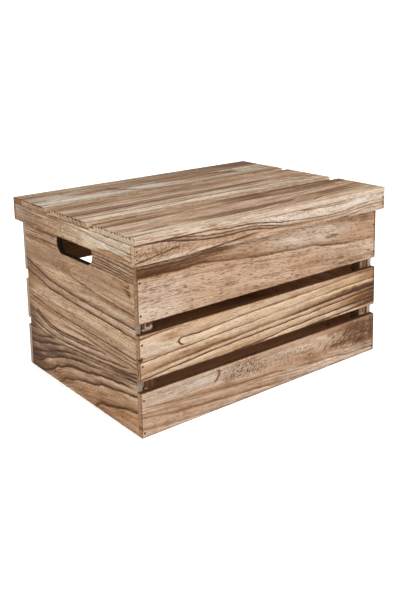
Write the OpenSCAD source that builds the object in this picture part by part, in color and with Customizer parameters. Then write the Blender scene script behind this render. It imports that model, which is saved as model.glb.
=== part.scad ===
// Kindling box: a scorched light-wood crate with a loose lift-off lid.
// The crate is two solid end panels with slot hand holes, three boards along
// each long side with air gaps between them, four corner posts and a slatted
// base on two cleats. The lid is three slats on a four-board rim that hangs
// outside the crate. The origin is on the ground under the middle of the box,
// +X runs along the length, -Y is the front long side and +Z is up.

/* [Crate] */
// Length of the crate, which is the length of the side boards
crate_l = 482; // [440:1:540]
// Width of the crate over the side boards
crate_w = 339; // [310:1:380]
// Height of the crate, which is the height of the end panels
crate_h = 279; // [264:1:300]
// Thickness of the boards along the long sides
board_t = 8.5; // [7:0.5:11]
// Thickness of the end panels
end_t = 9; // [8:0.5:12]

/* [Front side] */
// Height of the top front board
front_top_h = 113.5; // [90:0.5:118]
// Gap under the top front board
front_gap_hi = 16; // [10:0.5:20]
// Height of the middle front board
front_mid_h = 67; // [55:0.5:70]
// Gap under the middle front board
front_gap_lo = 16.5; // [10:0.5:20]

/* [Rear side] */
// Height of the top rear board
rear_top_h = 113; // [90:0.5:118]
// Gap under the top rear board
rear_gap_hi = 16; // [10:0.5:20]
// Height of the middle rear board
rear_mid_h = 68; // [55:0.5:70]
// Gap under the middle rear board
rear_gap_lo = 12.5; // [10:0.5:20]

/* [Hand holes] */
// Length of each slot, over its round ends
hole_l = 105; // [80:1:120]
// Height of each slot
hole_h = 31; // [24:1:34]
// Height of the slot's middle above the ground
hole_z = 236; // [225:1:240]
// Sideways offset of the slot in the left end panel
hole_off_left = -1; // [-6:0.5:6]
// Sideways offset of the slot in the right end panel
hole_off_right = 2; // [-6:0.5:6]

/* [Corner posts and base] */
// Width of a corner post along the crate's length
post_w = 20; // [14:1:26]
// Depth of a corner post across the crate
post_d = 18; // [14:1:26]
// Distance from the top of the crate down to the posts
post_drop = 5; // [2:1:12]
// Thickness of the base boards
base_t = 9; // [7:0.5:12]
// Gap between the base boards
base_gap = 8; // [4:1:14]
// Height of the cleats under the base boards
cleat_h = 12; // [10:1:16]
// Width of the cleats under the base boards
cleat_w = 18; // [14:1:24]

/* [Lid] */
// How far the lid stands past the crate at each end
lid_over_x = 9; // [8.5:0.5:14]
// How far the lid stands past the crate at the front and rear
lid_over_y = 10.5; // [9:0.5:16]
// Thickness of the lid's slats
slat_t = 9; // [7:0.5:12]
// Thickness of the rim boards
rim_t = 7.5; // [6:0.5:7.5]
// Height of the rim boards
rim_h = 28.5; // [22:0.5:32]
// Front edge of the rear slat at its left end
rear_slat_left = 71.5; // [70:0.5:74]
// Front edge of the rear slat at its right end
rear_slat_right = 66.5; // [64:0.5:74]
// Rear edge of the middle slat at its left end
mid_slat_left = 53; // [48:0.5:56]
// Rear edge of the middle slat at its right end
mid_slat_right = 51.5; // [48:0.5:56]
// Front edge of the middle slat
mid_slat_front = -56; // [-60:0.5:-50]
// Rear edge of the front slat
front_slat_rear = -76.5; // [-80:0.5:-70]
// Rise of the left rim board's lower edge at its front end
rim_rise = 3.3; // [0:0.1:6]
// Length over which that edge rises
rim_rise_l = 78; // [40:1:120]

/* [Nails] */
// Shank diameter of the nails
nail_d = 1.6; // [1.2:0.1:2]
// Head diameter of the nails
nail_head_d = 2.6; // [2.2:0.1:3.2]
// Length of the nails in the sides and the rim
nail_l = 25; // [20:1:30]
// Length of the nails in the base
base_nail_l = 17; // [15:0.5:19]
// How far a head stands above the wood
nail_proud = 0.12; // [0.1:0.02:0.3]

/* [Hidden] */
$fn = 48;

// half sizes and levels
cx = crate_l / 2;
cy = crate_w / 2;
inner_x = cx - end_t;
inner_y = cy - board_t;
lx = cx + lid_over_x;
ly = cy + lid_over_y;
rim_z = crate_h - rim_h;

// lower and upper edge of each side board, from the top one down
front_mid_top = crate_h - front_top_h - front_gap_hi;
front_low_top = front_mid_top - front_mid_h - front_gap_lo;
rear_mid_top = crate_h - rear_top_h - rear_gap_hi;
rear_low_top = rear_mid_top - rear_mid_h - rear_gap_lo;
front_spans = [[front_mid_top + front_gap_hi, crate_h],
               [front_low_top + front_gap_lo, front_mid_top],
               [0, front_low_top]];
rear_spans = [[rear_mid_top + rear_gap_hi, crate_h],
              [rear_low_top + rear_gap_lo, rear_mid_top],
              [0, rear_low_top]];

// base: three equal boards between the side boards, 1 mm clear at each side
base_w = (2 * inner_y - 2 - 2 * base_gap) / 3;
base_z = cleat_h;

// heights of the nails at each end of the front and rear boards
top_inset_hi = 56;
top_inset_lo = 11.5;
mid_inset = 14;
low_inset_hi = 11;
low_inset_lo = 7;
function nail_heights(spans) = [
    spans[0][1] - top_inset_hi, spans[0][0] + top_inset_lo,
    spans[1][1] - mid_inset, spans[1][0] + mid_inset + 8,
    spans[2][1] - low_inset_hi, spans[2][0] + low_inset_lo
];
nail_x = cx - end_t / 2;

tan_wood = [0.78, 0.64, 0.49];
pale_wood = [0.84, 0.73, 0.60];
brown_wood = [0.66, 0.50, 0.36];
inner_wood = [0.60, 0.46, 0.33];
nail_steel = [0.24, 0.20, 0.17];

// A straight board between two opposite corners
module board(lo, hi) {
    translate(lo) cube(hi - lo);
}

// A slot with round ends, cut along X through a panel
module slot_cut(off, span, high, x0, x1) {
    r = high / 2;
    translate([x0, off, hole_z]) rotate([0, 90, 0]) {
        translate([0, -(span / 2 - r), 0]) cylinder(r = r, h = x1 - x0);
        translate([0, span / 2 - r, 0]) cylinder(r = r, h = x1 - x0);
        translate([-r, -(span / 2 - r), 0]) cube([high, span - high, x1 - x0]);
    }
}

// An end panel stands between the front and rear boards
module end_panel(side, off) {
    x0 = side < 0 ? -cx : inner_x;
    x1 = side < 0 ? -inner_x : cx;
    difference() {
        board([x0, -inner_y, 0], [x1, inner_y, crate_h]);
        slot_cut(off, hole_l, hole_h, x0 - 1, x1 + 1);
    }
}

module end_panel_left() color(tan_wood) end_panel(-1, hole_off_left);
module end_panel_right() color(tan_wood) end_panel(1, hole_off_right);

// The side boards run the full length and cover the end panels' edges
module front_board(span) board([-cx, -cy, span[0]], [cx, -inner_y, span[1]]);
module rear_board(span) board([-cx, inner_y, span[0]], [cx, cy, span[1]]);

module front_board_top() color(pale_wood) front_board(front_spans[0]);
module front_board_middle() color(tan_wood) front_board(front_spans[1]);
module front_board_bottom() color(tan_wood) front_board(front_spans[2]);
module rear_board_top() color(pale_wood) rear_board(rear_spans[0]);
module rear_board_middle() color(tan_wood) rear_board(rear_spans[1]);
module rear_board_bottom() color(tan_wood) rear_board(rear_spans[2]);

// Posts stand on the base boards in the four inner corners
module corner_post(sx, sy) {
    x0 = sx < 0 ? -inner_x : inner_x - post_w;
    y0 = sy < 0 ? -inner_y : inner_y - post_d;
    board([x0, y0, base_z + base_t], [x0 + post_w, y0 + post_d, crate_h - post_drop]);
}

module corner_post_front_left() color(inner_wood) corner_post(-1, -1);
module corner_post_front_right() color(inner_wood) corner_post(1, -1);
module corner_post_rear_left() color(inner_wood) corner_post(-1, 1);
module corner_post_rear_right() color(inner_wood) corner_post(1, 1);

// Cleats along the foot of the end panels carry the base boards
module base_cleat(side) {
    x0 = side < 0 ? -inner_x : inner_x - cleat_w;
    board([x0, -inner_y, 0], [x0 + cleat_w, inner_y, cleat_h]);
}
module base_cleat_left() color(inner_wood) base_cleat(-1);
module base_cleat_right() color(inner_wood) base_cleat(1);

function base_y(i) = -inner_y + 1 + i * (base_w + base_gap);
module base_board(i)
    board([-inner_x, base_y(i), base_z], [inner_x, base_y(i) + base_w, base_z + base_t]);
module base_board_front() color(inner_wood) base_board(0);
module base_board_middle() color(inner_wood) base_board(1);
module base_board_rear() color(inner_wood) base_board(2);

// A nail with its head at the origin, its shank running down -Z
module nail(len) {
    translate([0, 0, -len]) cylinder(d = nail_d, h = len, $fn = 16);
    translate([0, 0, -0.9]) cylinder(d = nail_head_d, h = 0.9 + nail_proud, $fn = 20);
}

module front_nails() color(nail_steel)
    for (sx = [-1, 1], z = nail_heights(front_spans))
        translate([sx * nail_x, -cy, z]) rotate([90, 0, 0]) nail(nail_l);

module rear_nails() color(nail_steel)
    for (sx = [-1, 1], z = nail_heights(rear_spans))
        translate([sx * nail_x, cy, z]) rotate([-90, 0, 0]) nail(nail_l);

// Two nails at each end of each base board, driven down into the cleats
module base_nails() color(nail_steel)
    for (sx = [-1, 1], i = [0:2], f = [0.3, 0.7])
        translate([sx * (inner_x - cleat_w / 2), base_y(i) + f * base_w, base_z + base_t])
            nail(base_nail_l);

// Lid slats lie on the rim boards and on the crate's top edges
module slat(points) translate([0, 0, crate_h]) linear_extrude(slat_t) polygon(points);
module lid_slat_rear() color(pale_wood)
    slat([[-lx, rear_slat_left], [lx, rear_slat_right], [lx, ly], [-lx, ly]]);
module lid_slat_middle() color(tan_wood)
    slat([[-lx, mid_slat_front], [lx, mid_slat_front], [lx, mid_slat_right], [-lx, mid_slat_left]]);
module lid_slat_front() color(tan_wood)
    slat([[-lx, -ly], [lx, -ly], [lx, front_slat_rear], [-lx, front_slat_rear]]);

// The front and rear rim boards run the full length, the others fit between
module lid_rim_front() color(pale_wood)
    board([-lx, -ly, rim_z], [lx, -ly + rim_t, crate_h]);
module lid_rim_rear() color(pale_wood)
    board([-lx, ly - rim_t, rim_z], [lx, ly, crate_h]);
module lid_rim_left() color(pale_wood)
    translate([-lx, 0, 0]) rotate([90, 0, 90]) linear_extrude(rim_t)
        polygon([[-ly + rim_t, rim_z + rim_rise],
                 [-ly + rim_t + 0.35 * rim_rise_l, rim_z + 0.5 * rim_rise],
                 [-ly + rim_t + rim_rise_l, rim_z],
                 [ly - rim_t, rim_z], [ly - rim_t, crate_h], [-ly + rim_t, crate_h]]);
module lid_rim_right() color(pale_wood)
    board([lx - rim_t, -ly + rim_t, rim_z], [lx, ly - rim_t, crate_h]);

// Two nails at each corner, through the long rim boards into the short ones
module lid_nails() color(nail_steel)
    for (sx = [-1, 1], sy = [-1, 1], z = [9, 20])
        translate([sx * (lx - rim_t / 2), sy * ly, rim_z + z])
            rotate([-sy * 90, 0, 0]) nail(nail_l);

end_panel_left();
end_panel_right();
front_board_top();
front_board_middle();
front_board_bottom();
rear_board_top();
rear_board_middle();
rear_board_bottom();
corner_post_front_left();
corner_post_front_right();
corner_post_rear_left();
corner_post_rear_right();
base_cleat_left();
base_cleat_right();
base_board_front();
base_board_middle();
base_board_rear();
front_nails();
rear_nails();
base_nails();
lid_slat_front();
lid_slat_middle();
lid_slat_rear();
lid_rim_front();
lid_rim_rear();
lid_rim_left();
lid_rim_right();
lid_nails();
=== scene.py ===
import math
import random

import bmesh
import bpy
from mathutils import Matrix, Vector


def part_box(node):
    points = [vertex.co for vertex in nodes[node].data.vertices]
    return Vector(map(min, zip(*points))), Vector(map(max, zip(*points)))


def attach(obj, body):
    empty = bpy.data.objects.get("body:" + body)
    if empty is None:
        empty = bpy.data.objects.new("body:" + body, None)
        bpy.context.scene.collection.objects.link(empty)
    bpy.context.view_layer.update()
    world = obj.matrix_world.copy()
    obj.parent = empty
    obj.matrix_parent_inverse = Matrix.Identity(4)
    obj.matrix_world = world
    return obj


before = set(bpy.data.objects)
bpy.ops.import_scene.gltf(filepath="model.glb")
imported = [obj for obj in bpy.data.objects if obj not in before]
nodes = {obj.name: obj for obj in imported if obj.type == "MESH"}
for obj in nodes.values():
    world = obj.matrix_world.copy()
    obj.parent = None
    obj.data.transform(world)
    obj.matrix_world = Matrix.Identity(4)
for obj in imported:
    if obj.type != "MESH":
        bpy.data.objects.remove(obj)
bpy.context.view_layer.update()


# ---------------------------------------------------------------- camera
# Taken from the object's own edges: focal length and optical centre in pixels of the 400 x 600 frame.
FOCAL, CX, CY = 807.18, 196.0, 178.0
EYE = Vector((-0.80073593, -1.03322206, 0.5615457))
RIGHT = Vector((0.79086578, -0.61162946, -0.02099357))
DOWN = Vector((-0.13142688, -0.13623775, -0.98191968))
AHEAD = Vector((0.59771088, 0.77932579, -0.18813032))

cam_data = bpy.data.cameras.new("camera")
cam = bpy.data.objects.new("camera", cam_data)
bpy.context.scene.collection.objects.link(cam)
cam.matrix_world = Matrix((
    (RIGHT.x, -DOWN.x, -AHEAD.x, EYE.x),
    (RIGHT.y, -DOWN.y, -AHEAD.y, EYE.y),
    (RIGHT.z, -DOWN.z, -AHEAD.z, EYE.z),
    (0, 0, 0, 1),
))
cam_data.sensor_fit = "AUTO"
cam_data.sensor_width = 36
cam_data.lens = 36 * FOCAL / 600
cam_data.shift_x = (200 - CX) / 600
cam_data.shift_y = (CY - 300) / 600
cam_data.clip_start = 0.02
cam_data.clip_end = 60
bpy.context.scene.camera = cam


# ---------------------------------------------------------------- node helper
def lin(c):
    """An 8-bit display colour as scene-linear RGBA."""
    out = []
    for x in c:
        x = x / 255
        out.append(x / 12.92 if x <= 0.04045 else ((x + 0.055) / 1.055) ** 2.4)
    return (*out, 1.0)


class F:
    """A number in a shader: an output socket that can be added, multiplied and so on."""

    def __init__(self, g, sock):
        self.g, self.sock = g, sock

    def __add__(self, o): return self.g.m("ADD", self, o)
    def __radd__(self, o): return self.g.m("ADD", self, o)
    def __sub__(self, o): return self.g.m("SUBTRACT", self, o)
    def __rsub__(self, o): return self.g.m("SUBTRACT", o, self)
    def __mul__(self, o): return self.g.m("MULTIPLY", self, o)
    def __rmul__(self, o): return self.g.m("MULTIPLY", self, o)
    def __truediv__(self, o): return self.g.m("DIVIDE", self, o) if isinstance(o, F) else self.g.m("MULTIPLY", self, 1.0 / o)
    def __neg__(self): return self.g.m("MULTIPLY", self, -1.0)


class Graph:
    def __init__(self, name):
        self.mat = bpy.data.materials.new(name)
        self.mat.use_nodes = True
        self.t = self.mat.node_tree
        self.t.nodes.clear()

    def new(self, kind, **props):
        n = self.t.nodes.new(kind)
        for k, v in props.items():
            setattr(n, k, v)
        return n

    def put(self, sock, v):
        if isinstance(v, F):
            self.t.links.new(v.sock, sock)
        else:
            sock.default_value = v

    def m(self, op, a, b=None, c=None, clamp=False):
        n = self.new("ShaderNodeMath", operation=op, use_clamp=clamp)
        for i, v in enumerate((a, b, c)):
            if v is not None:
                self.put(n.inputs[i], v)
        return F(self, n.outputs[0])

    def ma(self, a, b, c, clamp=False):
        return self.m("MULTIPLY_ADD", a, b, c, clamp)

    def vec(self, x, y, z=0.0):
        n = self.new("ShaderNodeCombineXYZ")
        for i, v in enumerate((x, y, z)):
            self.put(n.inputs[i], v)
        return F(self, n.outputs[0])

    def vm(self, op, a, b=None, c=None, out=0):
        n = self.new("ShaderNodeVectorMath", operation=op)
        for i, v in enumerate((a, b, c)):
            if v is not None:
                self.put(n.inputs[i], v)
        return F(self, n.outputs[out])

    def noise(self, v, detail=2.0, rough=0.5, dist=0.0, dims="3D"):
        n = self.new("ShaderNodeTexNoise", noise_dimensions=dims)
        self.put(n.inputs["Vector"], v)
        n.inputs["Scale"].default_value = 1.0
        n.inputs["Detail"].default_value = detail
        n.inputs["Roughness"].default_value = rough
        n.inputs["Distortion"].default_value = dist
        return F(self, n.outputs[0])

    def step(self, v, a, b, lo=0.0, hi=1.0, kind="SMOOTHSTEP"):
        """v from a to b becomes lo to hi, smoothly, and stays there outside."""
        n = self.new("ShaderNodeMapRange", interpolation_type=kind)
        n.clamp = True
        self.put(n.inputs["Value"], v)
        if a > b:
            a, b, lo, hi = b, a, hi, lo
        n.inputs["From Min"].default_value = a
        n.inputs["From Max"].default_value = b
        n.inputs["To Min"].default_value = lo
        n.inputs["To Max"].default_value = hi
        return F(self, n.outputs[0])

    def ramp(self, v, stops, kind="LINEAR"):
        """stops: (place 0..1, grey or RGBA)."""
        n = self.new("ShaderNodeValToRGB")
        r = n.color_ramp
        r.interpolation = kind
        stops = [(p, c if isinstance(c, tuple) else (c, c, c, 1.0)) for p, c in stops]
        r.elements[0].position, r.elements[0].color = stops[0]
        r.elements[1].position, r.elements[1].color = stops[-1]
        for p, c in stops[1:-1]:
            e = r.elements.new(p)
            e.color = c
        self.put(n.inputs[0], v)
        return F(self, n.outputs[0])

    def curve(self, v, pts):
        """A smooth curve through the points, both axes 0..1."""
        n = self.new("ShaderNodeFloatCurve")
        c = n.mapping.curves[0]
        c.points[0].location = pts[0]
        c.points[1].location = pts[-1]
        for p in pts[1:-1]:
            c.points.new(*p)
        for p in c.points:
            p.handle_type = "AUTO_CLAMPED"
        n.mapping.extend = "HORIZONTAL"
        n.mapping.update()
        self.put(n.inputs["Value"], v)
        return F(self, n.outputs[0])

    def mix(self, fac, a, b, kind="MIX"):
        n = self.new("ShaderNodeMix", data_type="RGBA", blend_type=kind)
        n.clamp_factor = True
        self.put(n.inputs["Factor"], fac)
        ins = [s for s in n.inputs if s.type == "RGBA"]
        self.put(ins[0], a)
        self.put(ins[1], b)
        out = [s for s in n.outputs if s.type == "RGBA"][0]
        return F(self, out)


# ---------------------------------------------------------------- wood
# Each board has its own grain. u runs along the grain, v across the wide face, w through the thickness, in mm.
# A grain line is (strength, [(u, v), ...], options). A patch is (u, v, half length, half width, amount, colour name),
# with "small" at the end where its border is crisp. A hook is (strength, [(v, u), ...], width): a mark across the grain.
# A profile is what a line looks like across: (mm from its middle, darkness, brightness) with the soft side above.
SHARP = [(-6, 0, 0), (-3.0, 0, 0.55), (-1.6, 0, 0.8), (-1.15, 0, 0.2), (-0.55, 1, 0), (0.5, 0.95, 0), (1.2, 0.45, 0), (3.2, 0.2, 0), (8, 0.04, 0), (12.5, 0, 0)]
THIN = [(-4, 0, 0), (-2.0, 0, 0.5), (-1.1, 0, 0.3), (-0.5, 0.95, 0), (0.45, 0.9, 0), (1.0, 0.2, 0), (2.4, 0.05, 0), (3.6, 0, 0)]
BROAD = [(-8, 0, 0), (-4, 0, 0.6), (-2.5, 0, 0.4), (-1.1, 0.9, 0), (0.4, 1, 0), (1.9, 0.75, 0), (4.2, 0.4, 0), (9, 0.1, 0), (12.5, 0, 0)]
WIDE = [(-9, 0, 0), (-5, 0.1, 0), (-2.2, 0.7, 0), (0, 1, 0), (2.2, 0.7, 0), (5, 0.2, 0), (9, 0, 0)]
HALO = [(-1.0, 0, 0), (0, 1, 0), (3, 0.75, 0), (8, 0.3, 0), (12.5, 0, 0)]
GLOW = [(-7, 0, 0), (-3, 0, 0.6), (0, 0, 1), (3, 0, 0.6), (7, 0, 0)]
PROFILES = {"sharp": SHARP, "thin": THIN, "broad": BROAD, "wide": WIDE, "halo": HALO, "glow": GLOW}
SPAN = 26.0
GAIN = 0.60

COLOURS = {
    # the two darkest colours serve for real scorch and also for painted shadow lines in slits, seams and under edges
    "burn": (94, 65, 44),
    "char": (62, 40, 26),
    "brown": (134, 96, 64),
    "gold": (212, 178, 134),
    "orange": (180, 132, 90),
    "pale": (226, 209, 190),
    "cream": (230, 204, 175),
    "grey": (184, 171, 157),
    "dusk": (160, 133, 112),
    "ash": (108, 86, 70),
    "umber": (146, 110, 76),
    "amber": (206, 150, 92),
    "coffee": (88, 60, 38),
    "white": (246, 238, 230),
    "pink": (198, 162, 138),
    "olive": (134, 110, 82),
    "tan": (190, 154, 122),
}
DARK = ("burn", "char", "brown", "olive", "ash", "umber", "coffee")


def between(deep, mid, light, level):
    """A board's tone at a level: 0 is its deep tone, 0.5 the middle one, 1 the light one."""
    a, b, t = (deep, mid, level * 2) if level < 0.5 else (mid, light, level * 2 - 1)
    return tuple(x + (y - x) * t for x, y in zip(a, b))


def wood(name, axes, size, light, mid, deep, lines=(), patches=(), mottle=(), hooks=(), cuts=(), hatch=(), bands=None, flow=None,
         tilt=0.35, pores=0.5, streaks=0.5, seed=0.0, gain=1.0, edge=0.45, ends=0.6, end_colour=(156, 120, 90), end_marks=(), rings=(7.0, 0.8, 0.55),
         nails=None, slot_hole=None, fine=1.0, bump=1.0, inner=0.0, speckle=0.5, line_colour=(80, 49, 28), ink=1.0, thick_lines=1.15,
         front_face=None, tint=None, side=None, worms=0.5, coarse=1.0,
         strands=None, spec=0.07, inner_gain=1.0, end_top=0.0, deepen=None, slant=(), top_shade=None, glow=1.0):
    """One board's material. axes: three (axis letter, sign, offset in mm) for u, v and w.
    size: (length, width, thickness) in mm, with u, v, w running from 0 to it."""
    g = Graph(name)
    length, width, thick = size
    gain = gain * GAIN

    def tone(c, k=1.0):
        r, gg, b, a = lin(c)
        return (min(1, r * gain * k), min(1, gg * gain * k), min(1, b * gain * k), 1.0)

    tc = g.new("ShaderNodeTexCoord")
    sep = g.new("ShaderNodeSeparateXYZ")
    g.t.links.new(tc.outputs["Object"], sep.inputs[0])
    nsep = g.new("ShaderNodeSeparateXYZ")
    g.t.links.new(tc.outputs["Normal"], nsep.inputs[0])

    def axis(a):
        letter, sign, off = a
        return g.ma(F(g, sep.outputs["xyz".index(letter)]), 1000.0 * sign, float(off))

    u, v, w = (axis(a) for a in axes)
    n_u = g.m("ABSOLUTE", F(g, nsep.outputs["xyz".index(axes[0][0])]))

    # slow bends of the grain, and a small shiver in it
    slow = g.noise(g.vec(u / 130, v / 34 + seed, w / 34), 1.0) - 0.5
    shiver = g.noise(g.vec(u / 15 + seed, v / 5.5, w / 5.5), 2.0, 0.55) - 0.5
    vw = g.ma(w, tilt, v)                                   # rings lean through the thickness
    vl = g.ma(shiver, 2.3, g.ma(slow, 1.6, vw))             # where the drawn lines lie
    un = u / length
    if flow:
        top_pts, low_pts, v_top, v_low = flow
        f_top = g.curve(un, [(a / length, (b + 100) / 200) for a, b in top_pts])
        f_low = g.curve(un, [(a / length, (b + 100) / 200) for a, b in low_pts])
        share = g.step(v, v_low, v_top, kind="LINEAR")
        flow_off = g.ma(share, (f_top - f_low) * 200.0, g.ma(f_low, 200.0, -100.0))
        vf = vw - flow_off
        r = g.ma(shiver, 2.2, g.ma(slow, 7.0, vf))
    else:
        vf = vw
        r = g.ma(shiver, 2.2, g.ma(slow, 9.0, vf))

    # streaks: noise across the rings that changes slowly along the board
    s_broad = g.noise(g.vec(u / 420 + seed * 3, r / 13, 0.3), 1.5, 0.5)
    s_mid = g.noise(g.vec(u / 150 - seed, r / (4.2 * coarse), seed), 2.5, 0.62)
    s_fine = g.noise(g.vec(u / 30, r / (1.1 * coarse), w / 1.1), 2.0, 0.6)
    grit = g.noise(g.vec(u / (7 * coarse) + seed, r / (1.8 * coarse), w / 1.8), 2.0, 0.6, 0.4)      # wisps a couple of mm wide
    speck = g.noise(g.vec(u / (3.2 * coarse), r / (1.7 * coarse) + 7, w / 1.7 + seed), 1.5, 0.65)
    blotch = g.noise(g.vec(u / 38 + seed, r / 13 + 3, w / 13), 2.5, 0.6)

    col = g.mix(g.step(s_broad, 0.38, 0.62), tone(light), tone(mid))
    if bands:
        stops = [(min(0.999, max(0.001, (p + 10) / (width + 20))), tone(between(deep, mid, light, level))) for p, level in bands]
        rb = g.ma(slow, 4.0, g.ma(blotch - 0.5, 5.0, vf))
        col = g.mix(0.85, col, g.ramp(g.ma(rb, 1 / (width + 20.0), 10 / (width + 20.0), True), stops))
    col = g.mix(g.step(blotch, 0.50, 0.72, 0, 0.6), col, tone(deep))
    col = g.mix(g.step(s_mid, 0.50, 0.68, 0, 0.95 * streaks), col, tone(deep))
    col = g.mix(g.step(s_mid, 0.32, 0.47, 0.6 * streaks, 0), col, tone(light, 1.08))

    # patches, with uneven borders that follow the grain
    jit = g.noise(g.vec(u / 9, v / 3.0 + 5, seed), 2.0) - 0.5
    q0 = g.vec(g.ma(blotch - 0.5, 34.0, u), g.ma(jit, 5.0, g.ma(blotch - 0.5, 9.0, v)), 0.0)
    q1 = None
    weave = g.step(g.ma(s_mid, 0.5, g.ma(grit, 0.5, 0.0)), 0.38, 0.60, 0.35, 1.4)

    def spot(pu, pv, su, sv, small=False):
        nonlocal q1
        if small and q1 is None:
            q1 = g.vec(g.ma(jit, 3.5, u), g.ma(jit, -2.5, v), 0.0)
        p = g.vm("MULTIPLY_ADD", q1 if small else q0, (1.0 / su, 1.0 / sv, 0.0), (-pu / su, -pv / sv, 0.0))
        d2 = g.vm("DOT_PRODUCT", p, p, out=1)
        return g.step(d2, 0.3 if small else 0.0, 1.2 if small else 1.45, 1, 0)

    for pu, pv, su, sv, amount, cname, *more in patches:
        k = spot(pu, pv, su, sv, bool(more)) * amount
        if cname in DARK and not more:
            k = g.m("MINIMUM", k * weave, 0.96)
        col = g.mix(k, col, tone(COLOURS[cname]))

    # short dark dashes where the wood's vessels are cut open
    dash = g.noise(g.vec(u / 11 + seed, r / 1.15, w / 1.15), 1.5, 0.5, 0.25)
    dens = g.noise(g.vec(u / 45, r / 8 - seed, 2.0), 1.5) - 0.5
    dash = g.step(g.ma(dens, 0.45, dash), 0.565, 0.66)
    dash2 = g.step(g.ma(dens, 0.35, grit), 0.52, 0.64)
    col = g.mix(dash2 * (worms * pores), col, tone((128, 90, 60)))
    col = g.mix(dash * min(0.95, 0.85 * pores), col, tone((112, 76, 49)))
    col = g.mix(g.step(grit, 0.28, 0.46, 0.7 * speckle, 0), col, tone(light, 1.15))
    col = g.mix(g.step(speck, 0.52, 0.66, 0, 0.7 * speckle), col, tone(deep, 0.92))

    # fine growth lines, evenly spaced, that come and go along the board
    if strands:
        gap, much = strands
        ph = g.m("FRACT", g.ma(r, 1.0 / gap, g.ma(s_broad, 2.4, seed)))
        strong = g.step(g.noise(g.vec(u / 110 + seed, r / (gap * 1.6), 9.0), 1.5), 0.36, 0.62)
        col = g.mix(g.step(g.m("ABSOLUTE", ph - 0.5), 0.06, 0.26, 1, 0) * strong * much, col, tone(deep, 0.70))

    line_tone = tone(line_colour)
    chatter_tone = tone((92, 66, 47))
    if deepen:
        from_u, to_u, deep_line = deepen
        further = g.step(u, from_u, to_u)
        line_tone = g.mix(further, line_tone, tone(deep_line))
        chatter_tone = g.mix(further, chatter_tone, tone((74, 50, 36)))

    # chatter: short fine strokes at a slant, where the rings lie nearly flat in the face
    if mottle:
        ch = g.noise(g.vec((u * 0.74 + v * 0.67) / 6.5, (v * 0.74 - u * 0.67 + slow * 5) / 1.9 + seed, w / 4), 2.0, 0.6, 0.25)
        ch = g.step(ch, 0.48, 0.56)
        area = None
        for pu, pv, su, sv, amount in mottle:
            s = spot(pu, pv, su, sv) * amount
            area = s if area is None else g.m("MAXIMUM", area, s)
        col = g.mix(ch * area, col, chatter_tone)

    # strokes that run at a slant to the grain
    if slant:
        st = g.noise(g.vec((u * 0.80 + v * 0.60) / 15 + seed, (v * 0.80 - u * 0.60) / 3.1, w / 5), 2.0, 0.6, 0.3)
        st = g.step(st, 0.47, 0.58)
        area = None
        for pu, pv, su, sv, amount in slant:
            k = spot(pu, pv, su, sv) * amount
            area = k if area is None else g.m("MAXIMUM", area, k)
        col = g.mix(st * area, col, chatter_tone)

    # saw marks: short ticks across the grain, evenly spaced
    for pu, pv, su, sv, amount, pitch in hatch:
        t = g.m("FRACT", g.ma(u, 1 / pitch, v * (0.10 / pitch)))
        t = g.step(g.m("ABSOLUTE", t - 0.5), 0.12, 0.34, 1, 0)
        rows = g.step(g.m("ABSOLUTE", g.m("FRACT", v / 9.0 + jit * 0.3) - 0.5), 0.10, 0.42, 1.0, 0.25)
        col = g.mix(t * rows * spot(pu, pv, su, sv) * amount, col, tone((104, 70, 46)))

    # the drawn grain lines
    total = None
    shine = None
    if lines:
        k = width + 60.0
        vs = g.ma(vl, 1 / SPAN, 30.0 / SPAN + 0.5)
        vs_flip = g.ma(vl, -1 / SPAN, -30.0 / SPAN + 0.5)
        broken = None
        both = None
        at = un
        for i, (strength, pts, *opt) in enumerate(lines):
            if i and i % 5 == 0:
                at = g.ma(g.vm("LENGTH", both, out=1), 0.000001, un)      # keeps the lines in groups, worked out one after another
            o = opt[0] if opt else {}
            grow = o.get("w", 1.0) * thick_lines
            c = g.curve(at, [(a / length, (b + 30) / k) for a, b in pts])
            flip = o.get("below", False)
            d = g.ma(c, (k if flip else -k) / SPAN, vs_flip if flip else vs)
            if grow != 1.0:
                d = g.ma(d, 1 / grow, 0.5 - 0.5 / grow, True)
            p = g.ramp(d, [(0.5 + x / SPAN, (a, b, 0.0, 1.0)) for x, a, b in PROFILES[o.get("p", "sharp")]])
            amount = min(1.0, strength * ink)
            if "s" in o:
                amount = g.curve(at, [(a / length, b) for a, b in o["s"]]) * amount
            if o.get("broken"):
                if broken is None:
                    broken = g.step(g.noise(g.vec(u / 14 + seed, v / 5, 4.0), 2.0, 0.6), 0.42, 0.56)
                amount = broken * amount
            p = g.vm("MULTIPLY", p, g.vec(amount, amount, 0.0) if isinstance(amount, F) else (amount, amount, 0.0))
            both = p if both is None else g.vm("MAXIMUM", both, p)
        parts = g.new("ShaderNodeSeparateXYZ")
        g.put(parts.inputs[0], both)
        wear = g.step(g.noise(g.vec(u / 30 + 11, r / 6, seed), 2.0, 0.6), 0.22, 0.62, 0.75, 1.15)
        total = F(g, parts.outputs[0]) * wear
        shine = F(g, parts.outputs[1])
    for strength, pts, wide in hooks:
        us = g.curve(g.ma(v, 1 / width, 0.0), [(a / width, b / length) for a, b in pts])
        d = g.ma(shiver, 1.6, g.ma(us, -length, u))
        lo, hi = pts[0][0], pts[-1][0]
        h = g.step(g.m("ABSOLUTE", d), wide * 0.35, wide, strength, 0) * g.step(v, lo, lo + 3) * g.step(v, hi - 3, hi, 1, 0)
        total = h if total is None else g.m("MAXIMUM", total, h)
    if shine is not None:
        f = g.ma(shine, 0.22 * glow, 1.0)
        col = g.vm("MULTIPLY", col, g.vec(f, f, g.ma(shine, 0.26 * glow, 1.0)))
    if total is not None:
        total = g.m("MINIMUM", total, 0.95)
        col = g.mix(total, col, line_tone)

    # fibres
    fib = g.ma(grit, 1.0 * fine, g.ma(s_fine, 0.9 * fine, 1.0 - 0.95 * fine))
    col = g.vm("MULTIPLY", col, g.vec(fib, fib, fib))

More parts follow.
